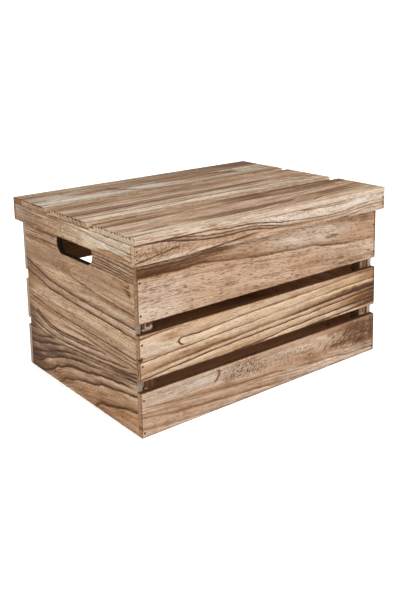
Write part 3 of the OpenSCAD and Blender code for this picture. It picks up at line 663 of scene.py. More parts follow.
# left end panel: u from the rear to the front
boards["end_panel_left"] = wood(
    "wood_end_left", (("y", -1, 169.5), ("z", 1, 0), ("x", 1, 241)), (339, 279, 9), (224, 191, 159), (198, 164, 132), (130, 97, 70), seed=2.2,
    flow=([(0, 0), (100, -3), (220, 1), (339, -4)], [(0, 0), (80, 12), (150, 36), (240, 54), (339, 66)], 110, 30),
    lines=[
        (0.55, [(8.3, 242), (113.3, 242), (226.7, 244.7), (328.3, 242.7)], {"p": "thin", "s": [(0, 0.7), (113, 0.7), (227, 1), (339, 1)]}),
        (0.6, [(8.3, 237.3), (113.3, 238), (226.7, 240.3), (283.3, 238.7), (328.3, 236.3)], {"p": "thin", "s": [(0, 0.8), (113, 0.6), (227, 1), (339, 1)]}),
        (0.75, [(8.3, 232.6), (113.3, 234), (226.7, 235.3), (283.3, 233.3), (328.3, 230.3)], {"p": "sharp", "w": 0.6, "s": [(0, 0.5), (113, 0.6), (227, 1), (339, 1)]}),
        (0.7, [(8.3, 229.2), (113.3, 229.2), (226.7, 231.9), (283.3, 230.6), (328.3, 226.2)], {"p": "thin", "s": [(0, 0.6), (113, 0.8), (227, 1), (339, 1)]}),
        (0.6, [(8.3, 224.5), (113.3, 224.5), (226.7, 227.9), (283.3, 226.2), (328.3, 223.2)], {"p": "thin", "s": [(0, 0.3), (113, 0.5), (227, 1), (339, 1)]}),
        (0.55, [(220, 222.5), (283.3, 222.5), (328.3, 220.5)], {"p": "thin", "s": [(217, 0), (233, 1), (339, 1)]}),
        (0.35, [(152, 198), (154, 201.7), (160, 205.7), (168, 209.1), (180, 211.4)], {"p": "thin", "s": [(149, 0), (152, 1), (165, 0.7), (180, 0)]}),
        (0.6, [(152, 198), (154, 194.6), (160, 191.6), (183.3, 187.5), (200, 185.8), (220, 183.5), (240, 181.1), (266.7, 179.5), (300, 176.8), (328.3, 175.4)], {"p": "sharp", "below": True, "w": 0.8, "s": [(149, 0), (152, 0.8), (167, 1), (233, 0.9), (339, 1)]}),
        (0.5, [(146.7, 191.9), (166.7, 188.9), (186.7, 185.5), (213.3, 182.1), (253.3, 178.1), (286.7, 175.4), (328.3, 172.4)], {"p": "wide", "w": 0.5, "broken": True, "s": [(143, 0), (173, 1), (267, 0.8), (339, 0.9)]}),
        (0.92, [(8.3, 186.9), (20, 183.2), (33.3, 180.1), (50, 176.1), (66.7, 171.7), (83.3, 167.7), (110, 165.3), (150, 162.5), (183.3, 160.4), (216.7, 159.4), (283.3, 157.6), (328.3, 156.2)], {"p": "broad", "w": 0.62, "s": [(0, 1), (67, 1), (100, 0.85), (200, 0.85), (339, 1)]}),
        (0.5, [(8.3, 181.8), (26.7, 176.1), (50, 170.7), (73.3, 166), (100, 162.5)], {"p": "wide", "w": 0.5, "s": [(0, 1), (40, 1), (77, 0.4), (100, 0)]}),
        (0.88, [(8.3, 167.7), (20, 166.3), (26.7, 164.6), (50, 160.8), (66.7, 156.9), (83.3, 153.4), (110, 151.7), (150, 149.6), (200, 147.5), (250, 146.1), (283.3, 144.7), (328.3, 142.3)], {"p": "broad", "w": 0.52}),
        (0.5, [(8.3, 163.9), (26.7, 159.7), (50, 155.5), (83.3, 150.3), (133.3, 147.9), (200, 145.1), (328.3, 139.2)], {"p": "wide", "w": 0.35, "broken": True, "s": [(0, 1), (67, 0.8), (133, 0.4), (339, 0.6)]}),
        (0.4, [(8.3, 141.6), (33.3, 138.1), (66.7, 133.6), (110, 130.8), (166.7, 128.3), (233.3, 125.6), (328.3, 122.8)], {"p": "thin", "s": [(0, 0.3), (50, 1), (339, 0.7)]}),
        (0.4, [(8.3, 135.3), (50, 131.1), (100, 127.6), (166.7, 124.9), (328.3, 120)], {"p": "thin", "s": [(0, 0.7), (83, 0.5), (339, 0.8)]}),
        (0.72, [(8.3, 126.2), (33.3, 124.2), (66.7, 120.7), (100, 118.6), (150, 116.5), (200, 115.1), (266.7, 113.7), (328.3, 111.6)], {"p": "sharp", "w": 0.8}),
        (0.55, [(8.3, 119.6), (50, 115.8), (100, 113.3), (150, 112), (200, 110.6), (233.3, 109.5), (266.7, 108.1), (300, 107.4), (328.3, 106)], {"p": "sharp", "w": 0.75, "s": [(0, 0.6), (100, 0.7), (200, 1), (339, 1)]}),
        (0.6, [(110, 105.7), (133.3, 104.6), (173.3, 103.9), (200, 103.6), (226.7, 101.8), (266.7, 101.1), (283.3, 101.1), (316.7, 100.4), (328.3, 100.1)], {"p": "thin", "w": 1.2, "s": [(107, 0), (133, 0.6), (200, 1), (339, 0.9)]}),
        (0.4, [(233.3, 98.4), (266.7, 97), (293.3, 96.6), (328.3, 94.9)], {"p": "thin", "s": [(230, 0), (253, 1), (339, 0.6)]}),
        (1.0, [(37.7, 105), (43.3, 104.3), (50, 101.8), (56.7, 98.7), (63.3, 96.3), (71.7, 94.5), (80, 93.1), (86.7, 91.7), (100, 90.7), (110, 90.7), (120, 90), (133.3, 90.7), (140, 91.4), (150, 92.1), (166.7, 93.1), (183.3, 94.2), (200, 96.3), (213.3, 97.3), (226.7, 98), (236.7, 98.4)], {"p": "broad", "w": 0.62, "below": True, "s": [(35, 0), (40, 1), (100, 0.95), (187, 0.85), (217, 0.5), (237, 0)]}),
        (0.9, [(8.3, 106), (16.7, 103.9), (26.7, 101.1), (33.3, 100.1), (43.3, 97), (53.3, 93.5), (60, 91.4), (70, 89.3), (80, 87.2), (100, 86.5), (116.7, 85.1), (126.7, 85.8), (140, 86.5), (150, 87.2), (166.7, 88.2), (180, 89.3), (186.7, 90), (200, 91), (216.7, 92.4), (230, 93.8), (240, 95.2), (256.7, 95.9)], {"p": "sharp", "s": [(0, 1), (27, 0.8), (100, 0.85), (200, 0.9), (247, 0.6), (257, 0)]}),
        (0.75, [(36.7, 101.8), (46.7, 98.4), (60, 94.2), (73.3, 91), (86.7, 88.9)], {"p": "wide", "w": 0.8, "s": [(32, 0), (43, 1), (70, 0.8), (90, 0)]}),
        (0.6, [(8.3, 100.4), (20, 98.4), (33.3, 95.2), (43.3, 92.4)], {"p": "thin", "s": [(0, 1), (27, 0.8), (43, 0)]}),
        (0.55, [(8.3, 96.3), (26.7, 92.4), (36.7, 90), (50, 85.8), (66.7, 82.7), (83.3, 80.9), (100, 80.2), (133.3, 80.2), (166.7, 82), (186.7, 83), (206.7, 85.1), (233.3, 88.2), (253.3, 90.7)], {"p": "thin", "s": [(0, 0.9), (67, 0.6), (150, 0.7), (233, 0.8), (253, 0)]}),
        (0.95, [(8.3, 90), (16.7, 86.5), (25, 83.7), (33.3, 82.3), (43.3, 80.6), (50, 79.5), (60, 78.5), (66.7, 77.8), (76.7, 76.7), (86.7, 75.7), (100, 75.7), (116.7, 75.7), (133.3, 76.4), (150, 77.8), (166.7, 78.5), (183.3, 79.9), (193.3, 80.6), (200, 81.6), (213.3, 83), (226.7, 83.7), (233.3, 84.4), (246.7, 85.8), (260, 87.9), (266.7, 88.9), (283.3, 90.7), (293.3, 91.7), (303.3, 93.1), (310, 94.2), (328.3, 96.3)], {"p": "sharp", "w": 1.15, "s": [(0, 1), (83, 1), (233, 1), (300, 0.9), (313, 0.4), (339, 0.2)]}),
        (0.8, [(8.3, 79.2), (16.7, 76.7), (26.7, 75.3), (33.3, 74.3), (43.3, 73.2), (50, 72.2), (66.7, 70.5), (83.3, 69.8), (103.3, 70.5), (123.3, 69.4), (133.3, 70.5), (150, 70.8), (160, 71.9), (166.7, 72.5), (183.3, 73.9), (200, 75), (216.7, 76.4), (233.3, 78.1), (246.7, 79.9), (266.7, 82), (283.3, 83.7), (300, 85.8), (316.7, 88.2), (328.3, 91)], {"p": "sharp", "s": [(0, 1), (47, 0.7), (67, 0.4), (110, 0.6), (133, 0.9), (339, 1)]}),
        (0.85, [(8.3, 70.5), (16.7, 70.8), (26.7, 70.8), (36.7, 72.5)], {"p": "broad", "w": 0.7, "s": [(0, 1), (20, 0.9), (33, 0)]}),
        (0.95, [(8.3, 56.2), (20, 57.9), (33.3, 58.6), (43.3, 60), (50, 61.4), (56.7, 62.8), (66.7, 65.9), (73.3, 68), (83.3, 69.4), (93.3, 70.1)], {"p": "broad", "w": 0.65, "s": [(0, 0.9), (33, 0.9), (80, 1), (97, 0)]}),
        (0.98, [(8.3, 45.3), (20, 45.7), (33.3, 47.1), (43.3, 48.8), (50, 50.6), (58.3, 53.4), (66.7, 55.8), (73.3, 57.9), (83.3, 59.6), (90, 61), (100, 63.5), (106.7, 65.2), (113.3, 66.6), (123.3, 68.7), (133.3, 70.1)], {"p": "broad", "w": 0.8, "s": [(0, 1), (67, 1), (110, 0.9), (133, 0.3), (140, 0)]}),
        (1.0, [(8.3, 27.2), (13.3, 27.9), (20, 29.3), (30, 31.4), (36.7, 33.5), (43.3, 34.9), (50, 36.6), (56.7, 38.4), (66.7, 40.8), (73.3, 42.9), (83.3, 46.7), (90, 48.8), (100, 52), (110, 54.8), (116.7, 56.5), (123.3, 58.6), (133.3, 61), (140, 62.4), (150, 63.8), (156.7, 65.2), (166.7, 65.9), (176.7, 68), (186.7, 69.1), (200, 70.5), (216.7, 72.2), (233.3, 73.9), (246.7, 75.3), (260, 76.7), (273.3, 78.8), (283.3, 79.9), (300, 82), (313.3, 84.1), (328.3, 85.8)], {"p": "broad", "w": 0.95, "s": [(0, 1), (67, 1), (150, 0.85), (187, 0.6), (233, 0.7), (339, 1)]}),
        (0.85, [(8.3, 20.9), (33.3, 23.7), (53.3, 27.9), (73.3, 35.6), (86.7, 41.2), (100, 47.4), (113.3, 51.6), (133.3, 57.9)], {"p": "wide", "w": 0.9, "s": [(0, 1), (67, 0.8), (133, 0)]}),
        (1.0, [(8.3, 13.3), (16.7, 14), (26.7, 14.7), (36.7, 16.8), (43.3, 19.2), (50, 22.3), (60, 28.6), (66.7, 30.7), (73.3, 32.8), (83.3, 35.9), (90, 38.4), (100, 42.2), (110, 45.7), (116.7, 47.4), (123.3, 49.5), (133.3, 51.3), (140, 52.7), (150, 54.8), (160, 56.5), (166.7, 57.9), (176.7, 59.6), (186.7, 60.3), (200, 61.7), (210, 62.8), (220, 64.9), (230, 67), (233.3, 68), (250, 69.1), (266.7, 71.2), (283.3, 72.9), (300, 76), (316.7, 78.5), (328.3, 79.5)], {"p": "broad", "w": 0.8, "s": [(0, 0.6), (50, 0.9), (100, 1), (187, 0.95), (233, 0.7), (339, 0.9)]}),
        (0.97, [(8.3, -0.7), (20, 0.4), (36.7, 1.4), (50, 3.5), (56.7, 5.6), (66.7, 9.8), (76.7, 13.3), (83.3, 16.8), (90, 20.9), (100, 26.5), (106.7, 27.2), (113.3, 29), (120, 32.1), (126.7, 35.6), (133.3, 37.7), (143.3, 40.5), (150, 41.9), (160, 43.3), (166.7, 44.3), (176.7, 45.3), (186.7, 47.1), (200, 48.5), (206.7, 51.3), (213.3, 52.7), (220, 53.4), (226.7, 55.1), (233.3, 56.9), (243.3, 57.9), (253.3, 59.3), (266.7, 61.7), (276.7, 62.1), (283.3, 62.8), (290, 64.5), (300, 65.6), (310, 66.3), (320, 68), (328.3, 69.8)], {"p": "broad", "w": 0.78, "s": [(0, 0.6), (57, 0.8), (80, 1), (187, 1), (283, 0.95), (320, 0.4), (339, 0.2)]}),
        (0.6, [(233.3, 62.4), (246.7, 65.2), (260, 66.6), (266.7, 67.3), (276.7, 68), (283.3, 69.4), (293.3, 71.5), (316.7, 73.9), (328.3, 76)], {"p": "sharp", "w": 0.8, "s": [(230, 0), (253, 1), (339, 0.9)]}),
        (0.9, [(100, -1.4), (110, 4.6), (116.7, 8), (123.3, 13.3), (130, 15.4), (140, 17.8), (150, 20.9), (156.7, 23.4), (163.3, 25.5), (170, 27.2), (176.7, 28.6), (183.3, 30.7), (193.3, 32.1), (200, 33.5), (213.3, 35.9), (220, 38), (226.7, 39.4), (233.3, 42.6), (243.3, 44.3), (253.3, 46.4), (266.7, 47.8), (276.7, 49.2), (283.3, 50.9), (293.3, 52.7), (306.7, 54.1), (316.7, 55.5), (328.3, 57.6)], {"p": "broad", "w": 0.68, "s": [(97, 0), (110, 0.7), (133, 0.9), (339, 0.95)]}),
        (0.9, [(213.3, -1.4), (218.3, 4.6), (223.3, 8), (230, 11.5), (233.3, 13.3), (240, 14), (246.7, 15), (253.3, 16.8), (260, 18.5), (266.7, 20.6), (276.7, 22.7), (283.3, 24.8), (290, 26.5), (300, 29.7), (310, 31.4), (320, 32.8), (328.3, 34.2)], {"p": "broad", "w": 0.8, "s": [(210, 0), (220, 0.8), (260, 1), (339, 0.9)]}),
        (0.5, [(226.7, 27.2), (246.7, 30.7), (266.7, 37), (283.3, 41.9)], {"p": "wide", "w": 0.3, "broken": True, "s": [(220, 0), (240, 1), (273, 0.7), (287, 0)]}),
        (0.45, [(143.3, 30.7), (166.7, 37), (186.7, 40.5), (206.7, 43.3)], {"p": "wide", "w": 0.35, "broken": True, "s": [(140, 0), (160, 1), (200, 0.6), (210, 0)]}),
        (0.75, [(8, 20), (30, 24), (60, 32), (90, 44), (120, 53)], {"p": "wide", "w": 1.2, "s": [(0, 1), (60, 0.85), (120, 0)]}),
        (0.6, [(8, 6), (40, 9), (70, 16), (95, 25)], {"p": "wide", "w": 1.0, "s": [(0, 1), (60, 0.7), (97, 0)]}),
        (0.45, [(8, 36), (40, 41), (80, 52)], {"p": "wide", "w": 0.6, "broken": True, "s": [(0, 1), (80, 0)]}),
        (0.4, [(60, 4), (90, 15), (115, 27), (150, 40)], {"p": "wide", "w": 0.5, "broken": True, "s": [(50, 0), (80, 1), (150, 0)]}),
        (0.4, [(8, 171), (40, 163), (90, 153)], {"p": "wide", "w": 0.5, "broken": True, "s": [(0, 1), (90, 0)]}),
    ],
    patches=[
        (70, 245, 90, 5, 0.85, "burn"), (50, 228, 60, 3.5, 0.7, "burn"), (290, 240, 60, 4, 0.6, "burn"), (280, 226, 50, 3, 0.5, "burn"), (70, 203, 85, 17, 0.85, "dusk"), (240, 200, 95, 14, 0.7, "dusk"), (130, 225, 130, 8, 0.5, "umber"), (140, 198, 20, 12, 0.7, "umber"), (316, 206, 4.5, 12, 0.95, "burn"),
        (25, 13, 46, 20, 0.95, "burn"), (15, 32, 34, 11, 0.8, "ash"), (20, 52, 34, 6, 0.5, "ash"), (60, 55, 50, 7, 0.5, "umber"), (130, 14, 70, 12, 0.5, "umber"), (250, 12, 80, 14, 0.6, "umber"),
        (230, 152, 120, 8, 0.4, "tan"), (290, 132, 100, 16, 0.3, "gold"), (270, 152, 110, 12, 0.4, "cream"), (270, 126, 100, 14, 0.35, "cream"), (250, 170, 90, 5, 0.5, "cream"), (20, 200, 60, 16, 0.5, "umber"), (150, 194, 50, 9, 0.4, "umber"), (8, 160, 40, 26, 0.75, "umber"), (4, 165, 26, 40, 0.5, "ash"), (10, 86, 44, 28, 0.85, "ash"), (4, 70, 24, 60, 0.6, "burn"), (4, 20, 24, 40, 0.6, "burn"), (50, 56, 60, 20, 0.7, "ash"), (60, 115, 50, 12, 0.55, "umber"), (105, 44, 48, 14, 0.7, "ash"), (90, 12, 40, 14, 0.7, "umber"), (165, 55, 60, 16, 0.4, "umber"), (40, 165, 50, 12, 0.5, "umber"), (60, 230, 40, 14, 0.35, "umber"), (225, 232, 46, 14, 0.5, "umber"), (62, 98, 32, 7, 0.6, "brown"), (280, 80, 60, 8, 0.35, "brown"),
        (120, 30, 40, 12, 0.45, "orange"), (270, 18, 110, 22, 0.55, "orange"), (200, 45, 60, 6, 0.45, "orange"), (300, 42, 60, 8, 0.5, "orange"), (230, 108, 110, 8, 0.4, "tan"), (150, 120, 110, 8, 0.4, "tan"), (30, 150, 40, 6, 0.5, "umber"),
        (250, 45, 60, 5, 0.45, "brown"), (150, 10, 50, 9, 0.5, "brown"), (230, 3, 40, 6, 0.6, "brown"), (100, 262, 110, 9, 0.2, "pale"),
    ],
    pores=0.7, worms=0.6, streaks=0.6, speckle=0.6, ink=1.3, thick_lines=1.25, line_colour=(56, 34, 20), strands=(4.4, 0.45), tint=(1.0, 0.995, 0.985), slot_hole=(170.5, 236, 37, 15.5), edge=0.4, inner=1.0, ends=0.9, end_colour=(162, 152, 141), rings=(9, 0.4, 0.15))

# lid
boards["lid_rim_front"] = wood(
    "wood_rim_front", (("x", 1, 250), ("z", 1, -250.5), ("y", 1, 180)), (500, 28.5, 7.5), (222, 196, 170), (203, 171, 142), (150, 111, 79), seed=3.4, strands=(3.2, 0.25), deepen=(-10, -5, (66, 42, 27)), ink=1.05, thick_lines=1.2, glow=0.35, gain=1.0, tint=(1.0, 1.01, 1.045),
    flow=([(0, 0), (120, -9), (200, -10), (350, -19), (440, -12), (500, -11)], [(0, 0), (120, 4), (200, 3), (350, -8), (440, 2), (500, 2)], 28, 0),
    lines=[
        (0.95, [(a, b - 250.5) for a, b in [(33, 278), (43, 277.3), (60, 275.3), (70, 273.3), (83, 271.3), (100, 269), (117, 267), (133, 265.7), (160, 265.3), (187, 266), (210, 265.7), (220, 264.3), (233, 262.3), (250, 260.7), (283, 257.7), (317, 255.3)]], {"p": "broad", "w": 0.42, "s": [(30, 0.3), (60, 1), (250, 0.9), (317, 0)]}),
        (0.85, [(a, b - 250.5) for a, b in [(77, 277.7), (100, 274.3), (113, 272.7), (133, 271.3), (160, 270.7), (187, 270.7), (207, 270.3), (227, 268), (247, 265), (267, 261.7), (290, 259.7), (317, 258.3), (350, 257.3), (383, 257.3), (410, 258.7), (433, 261.3), (450, 262.7), (467, 263.7), (497, 262.3)]], {"p": "thin", "s": [(77, 1), (250, 1), (310, 0.75), (497, 0.6)]}),
        (0.88, [(a, b - 250.5) for a, b in [(127, 278.7), (147, 276.7), (167, 275.7), (187, 275.7), (207, 275), (227, 272.3), (247, 269.7), (260, 267.3), (283, 265.7), (300, 264.3), (333, 262.3), (367, 261.3), (400, 262.3), (420, 264.3), (433, 266), (450, 268), (467, 269), (497, 268)]], {"p": "thin", "s": [(127, 1), (250, 1), (310, 0.75), (497, 0.6)]}),
        (0.85, [(a, b - 250.5) for a, b in [(367, 251.3), (383, 252), (400, 253), (420, 255.3), (440, 257.3), (457, 258.7), (497, 258.3)]], {"p": "sharp", "below": True, "w": 0.55, "s": [(355, 0), (385, 0.9), (497, 0.6)]}),
        (0.78, [(a, b - 250.5) for a, b in [(280, 281.3), (300, 279), (317, 277), (333, 276.7), (347, 275.7), (367, 275), (390, 275), (407, 276), (430, 277.7)]], {"p": "sharp", "w": 0.6, "s": [(290, 0), (320, 1), (400, 0.8), (430, 0)]}),
        (0.9, [(a, b - 250.5) for a, b in [(0, 254.3), (17, 256.7), (33, 259.7), (50, 262.3), (63, 264.3), (72, 265.7)]], {"p": "thin", "s": [(0, 1), (60, 0.9), (73, 0)]}),
        (0.55, [(a, b - 250.5) for a, b in [(85, 252), (97, 256.3), (113, 260.3)]], {"p": "thin", "s": [(82, 0), (90, 1), (105, 0.7), (114, 0)]}),
        (0.9, [(a, b - 250.5) for a, b in [(93, 251.3), (123, 252.7), (140, 254), (157, 255.7), (180, 257.3), (200, 259.3), (220, 259.7)]], {"p": "broad", "w": 0.48, "below": True, "s": [(88, 0), (110, 0.8), (150, 1), (205, 0.8), (220, 0)]}),
        (0.7, [(0, 28.3), (60, 28.3), (100, 28.2), (140, 28.4)], {"p": "thin", "s": [(0, 1), (60, 0.9), (100, 0.5), (140, 0)]}),
        (0.5, [(137, 26.0), (150, 25.4), (160, 25)], {"p": "thin", "s": [(134, 0), (140, 1), (155, 1), (162, 0)]}),
    ],
    patches=[
        (280, 19, 56, 9, 0.9, "pale"), (375, 18, 60, 9, 0.9, "pale"), (450, 23, 60, 9, 0.9, "pale"), (240, 24, 40, 5, 0.6, "pale"), (460, 8, 50, 8, 0.4, "pale"),
        (45, 15, 60, 13, 0.3, "brown"), (130, 1, 30, 2.4, 0.9, "burn"), (170, 12, 90, 6, 0.2, "brown"), (310, 3, 80, 6, 0.5, "brown"), (400, 0.5, 16, 2.4, 0.8, "burn"),
        (60, 27, 60, 3, 0.3, "burn"), (494, 14, 1.2, 16, 0.6, "burn", 1), (250, 2, 60, 3, 0.5, "brown"), (345, 1, 30, 2, 0.5, "brown"),
    ],
    mottle=[(45, 15, 60, 13, 0.6), (140, 14, 60, 8, 0.2)],
    pores=0.8, edge=0.15, nails=None, tilt=0.2, speckle=0.6, ends=0.9, end_colour=(214, 180, 146), rings=(5, 0.5, 0.35))

boards["lid_rim_left"] = wood(
    "wood_rim_left", (("y", -1, 180), ("z", 1, -250.5), ("x", 1, 250)), (360, 28.5, 7.5), (236, 212, 182), (218, 188, 156), (160, 122, 88), seed=5.9, strands=(3.4, 0.4),
    flow=([(0, 0), (160, -1), (265, -6), (360, -11)], [(0, 0), (100, -5), (200, -9), (360, -13)], 28, 0),
    lines=[
        (0.8, [(a, b - 250.5) for a, b in [(0, 277), (55, 276.5), (100, 276.2), (150, 276), (160, 275.5), (200, 274.2), (225, 273.5), (265, 270), (350, 266)]], {"p": "thin", "w": 1.3, "s": [(0, 0.5), (45, 0.8), (70, 1), (140, 1), (170, 0.6), (350, 0.8)]}),
        (0.5, [(a, b - 250.5) for a, b in [(38, 273), (100, 269.2), (150, 266), (225, 263)]], {"p": "thin", "s": [(0, 1), (130, 0.7), (225, 0)]}),
        (0.55, [(a, b - 250.5) for a, b in [(20, 265.5), (75, 263), (125, 258.5), (175, 255.5)]], {"p": "sharp", "w": 0.6, "s": [(0, 1), (100, 0.6), (175, 0)]}),
        (0.85, [(0, 28.4), (180, 28.3), (360, 28.3)], {"p": "thin", "w": 0.8, "broken": True}),
        (0.7, [(a, b - 250.5) for a, b in [(300, 264), (330, 262.6), (351, 262)]], {"p": "thin", "s": [(295, 0), (310, 0.5), (351, 0.6)]}),
        (0.75, [(a, b - 250.5) for a, b in [(270, 257.2), (300, 258.5), (330, 256.5), (351, 254.2)]], {"p": "sharp", "w": 0.9, "below": True, "s": [(262, 0), (280, 1), (351, 1)]}),
        (0.35, [(a, b - 250.5) for a, b in [(322, 267.6), (335, 266.6), (351, 266)]], {"p": "thin", "s": [(318, 0), (328, 1), (351, 1)]}),
    ],
    patches=[
        # the dark strips along the lower edge (v 0 to 4.5) are a painted shadow line under the rim
        (35, 12, 62, 16, 0.75, "umber"), (20, 18, 70, 14, 0.7, "grey"), (30, 8, 60, 5, 0.5, "ash"), (60, 20, 40, 6, 0.6, "brown"), (215, 14, 60, 6, 0.35, "grey"), (300, 17, 60, 8, 0.85, "pale"), (312, 2.6, 62, 4.8, 0.9, "orange"), (70, 2.5, 50, 4.5, 0.85, "burn"), (160, 0.5, 70, 2.6, 0.8, "burn"), (140, 12, 70, 18, 0.6, "umber"), (250, 0, 60, 2, 0.5, "burn"), (345, 10, 18, 3, 0.6, "burn"),
        (3, 14, 3, 20, 0.8, "burn", 1), (350.5, 14, 1.1, 20, 0.75, "char", 1), (120, 20, 50, 5, 0.4, "brown"), (260, 21, 50, 5, 0.35, "pink"),
    ],
    pores=0.55, edge=0.5, tilt=0.2, speckle=0.6)

SLAT = dict(pores=0.65, edge=0.5, speckle=0.4, gain=0.905, streaks=1.0, coarse=1.6, thick_lines=1.5, tint=(0.995, 1.015, 1.035), spec=0.05, strands=(12.5, 0.8), end_top=0.85)
boards["lid_slat_rear"] = wood(
    "wood_slat_rear", (("x", 1, 250), ("y", 1, -71.5), ("z", 1, -279)), (500, 108.5, 9), (196, 178, 156), (170, 147, 123), (122, 97, 72), seed=6.6,
    flow=([(0, 0), (250, 2), (500, 0)], [(0, 0), (250, -4), (500, -2)], 100, 0),
    lines=[
        (0.95, [(0, 83), (80, 83), (170, 82), (330, 80), (500, 86)], {"p": "wide", "w": 0.75, "s": [(0, 1), (30, 0.95), (77, 0.55), (166, 0.45), (400, 0.6), (500, 1)]}),
        (0.6, [(100, 68), (150, 64), (250, 63), (383, 66)], {"p": "wide", "w": 0.9, "s": [(90, 0), (150, 0.9), (383, 0.9), (430, 0.4)]}),
        (0.95, [(150, 62), (157, 54), (160, 45), (165, 35), (175, 26), (185, 19), (200, 6), (213, -2)], {"p": "broad", "w": 0.9, "s": [(147, 0), (153, 0.8), (160, 1), (167, 1), (185, 0.85), (213, 0.7), (216, 0)]}),
        (0.85, [(370, 50), (380, 45), (400, 35), (420, 25)], {"p": "wide", "w": 0.8, "s": [(368, 0), (380, 1), (415, 0.9), (425, 0)]}),
        (0.45, [(0, 14), (120, 8), (250, 6), (380, 8), (500, 6)], {"p": "broad"}),
        (0.4, [(0, 96), (120, 97), (260, 95), (400, 93), (500, 95)], {"p": "broad", "broken": True}),
    ],
    patches=[
        (150, 99, 190, 8, 0.75, "tan"), (420, 92, 80, 13, 0.95, "coffee"), (460, 86, 55, 18, 1.0, "coffee"), (480, 84, 34, 22, 0.9, "burn"), (30, 67, 48, 8, 0.5, "pink"),
        (290, 70, 180, 13, 0.85, "olive"), (260, 64, 80, 6, 0.8, "brown"), (330, 76, 70, 8, 0.6, "brown"), (68, 71, 3, 7, 0.75, "burn", 1), (50, 30, 60, 26, 0.6, "grey"), (122, 54, 36, 10, 0.75, "brown"),
        (208, 32, 38, 20, 0.55, "pale"), (213, 47, 3, 5, 0.7, "burn", 1), (350, 47, 40, 10, 1.0, "coffee"), (405, 38, 22, 9, 0.9, "coffee"), (447, 72, 40, 10, 0.8, "brown"),
        (452, 34, 34, 20, 0.6, "grey"), (120, 52, 60, 14, 0.7, "umber"), (470, 94, 60, 18, 0.95, "coffee"), (480, 88, 74, 26, 0.8, "burn", 1), (440, 104, 80, 8, 0.5, "burn"), (330, 44, 50, 12, 0.5, "umber"), (300, 88, 200, 8, 0.45, "ash"), (60, 16, 140, 17, 0.8, "pale"), (270, 15, 130, 12, 0.7, "pale"), (320, 13, 90, 10, 0.5, "cream"), (370, 26, 60, 10, 0.4, "umber"), (30, 42, 60, 20, 0.5, "pale"), (380, 98, 150, 16, 0.55, "ash"), (340, 52, 60, 16, 0.4, "brown"), (375, 99, 2.6, 2.0, 1.0, "white", 1), (150, 50, 10, 12, 0.8, "burn"), (225, 3, 60, 5, 0.6, "brown"), (410, 4, 60, 6, 0.6, "brown"), (125, 1, 40, 3, 0.5, "brown"), (491, 75, 8, 17, 0.85, "burn"), (160, 44, 5, 8, 0.7, "char", 1), (300, 20, 60, 12, 0.35, "tan"),
    ],
    ends=0.95, end_colour=(200, 166, 134), rings=(40, 0.5, 0.25), end_marks=[(92, 16, 0.9, "brown"), (49, 5, 0.4, "brown"), (2.5, 3.5, 0.5, "brown"), (25, 20, 0.4, "brown")],
    front_face=((228, 190, 156), 4.3, [(0, 0.1), (10, 0.2), (20, 0.3), (100, 0.3), (117, 0.6), (217, 0.6), (240, 0.3), (320, 0.4), (340, 0.6), (450, 0.5), (500, 0.3)], [(0, 0.5), (500, 0.5)]), **SLAT)

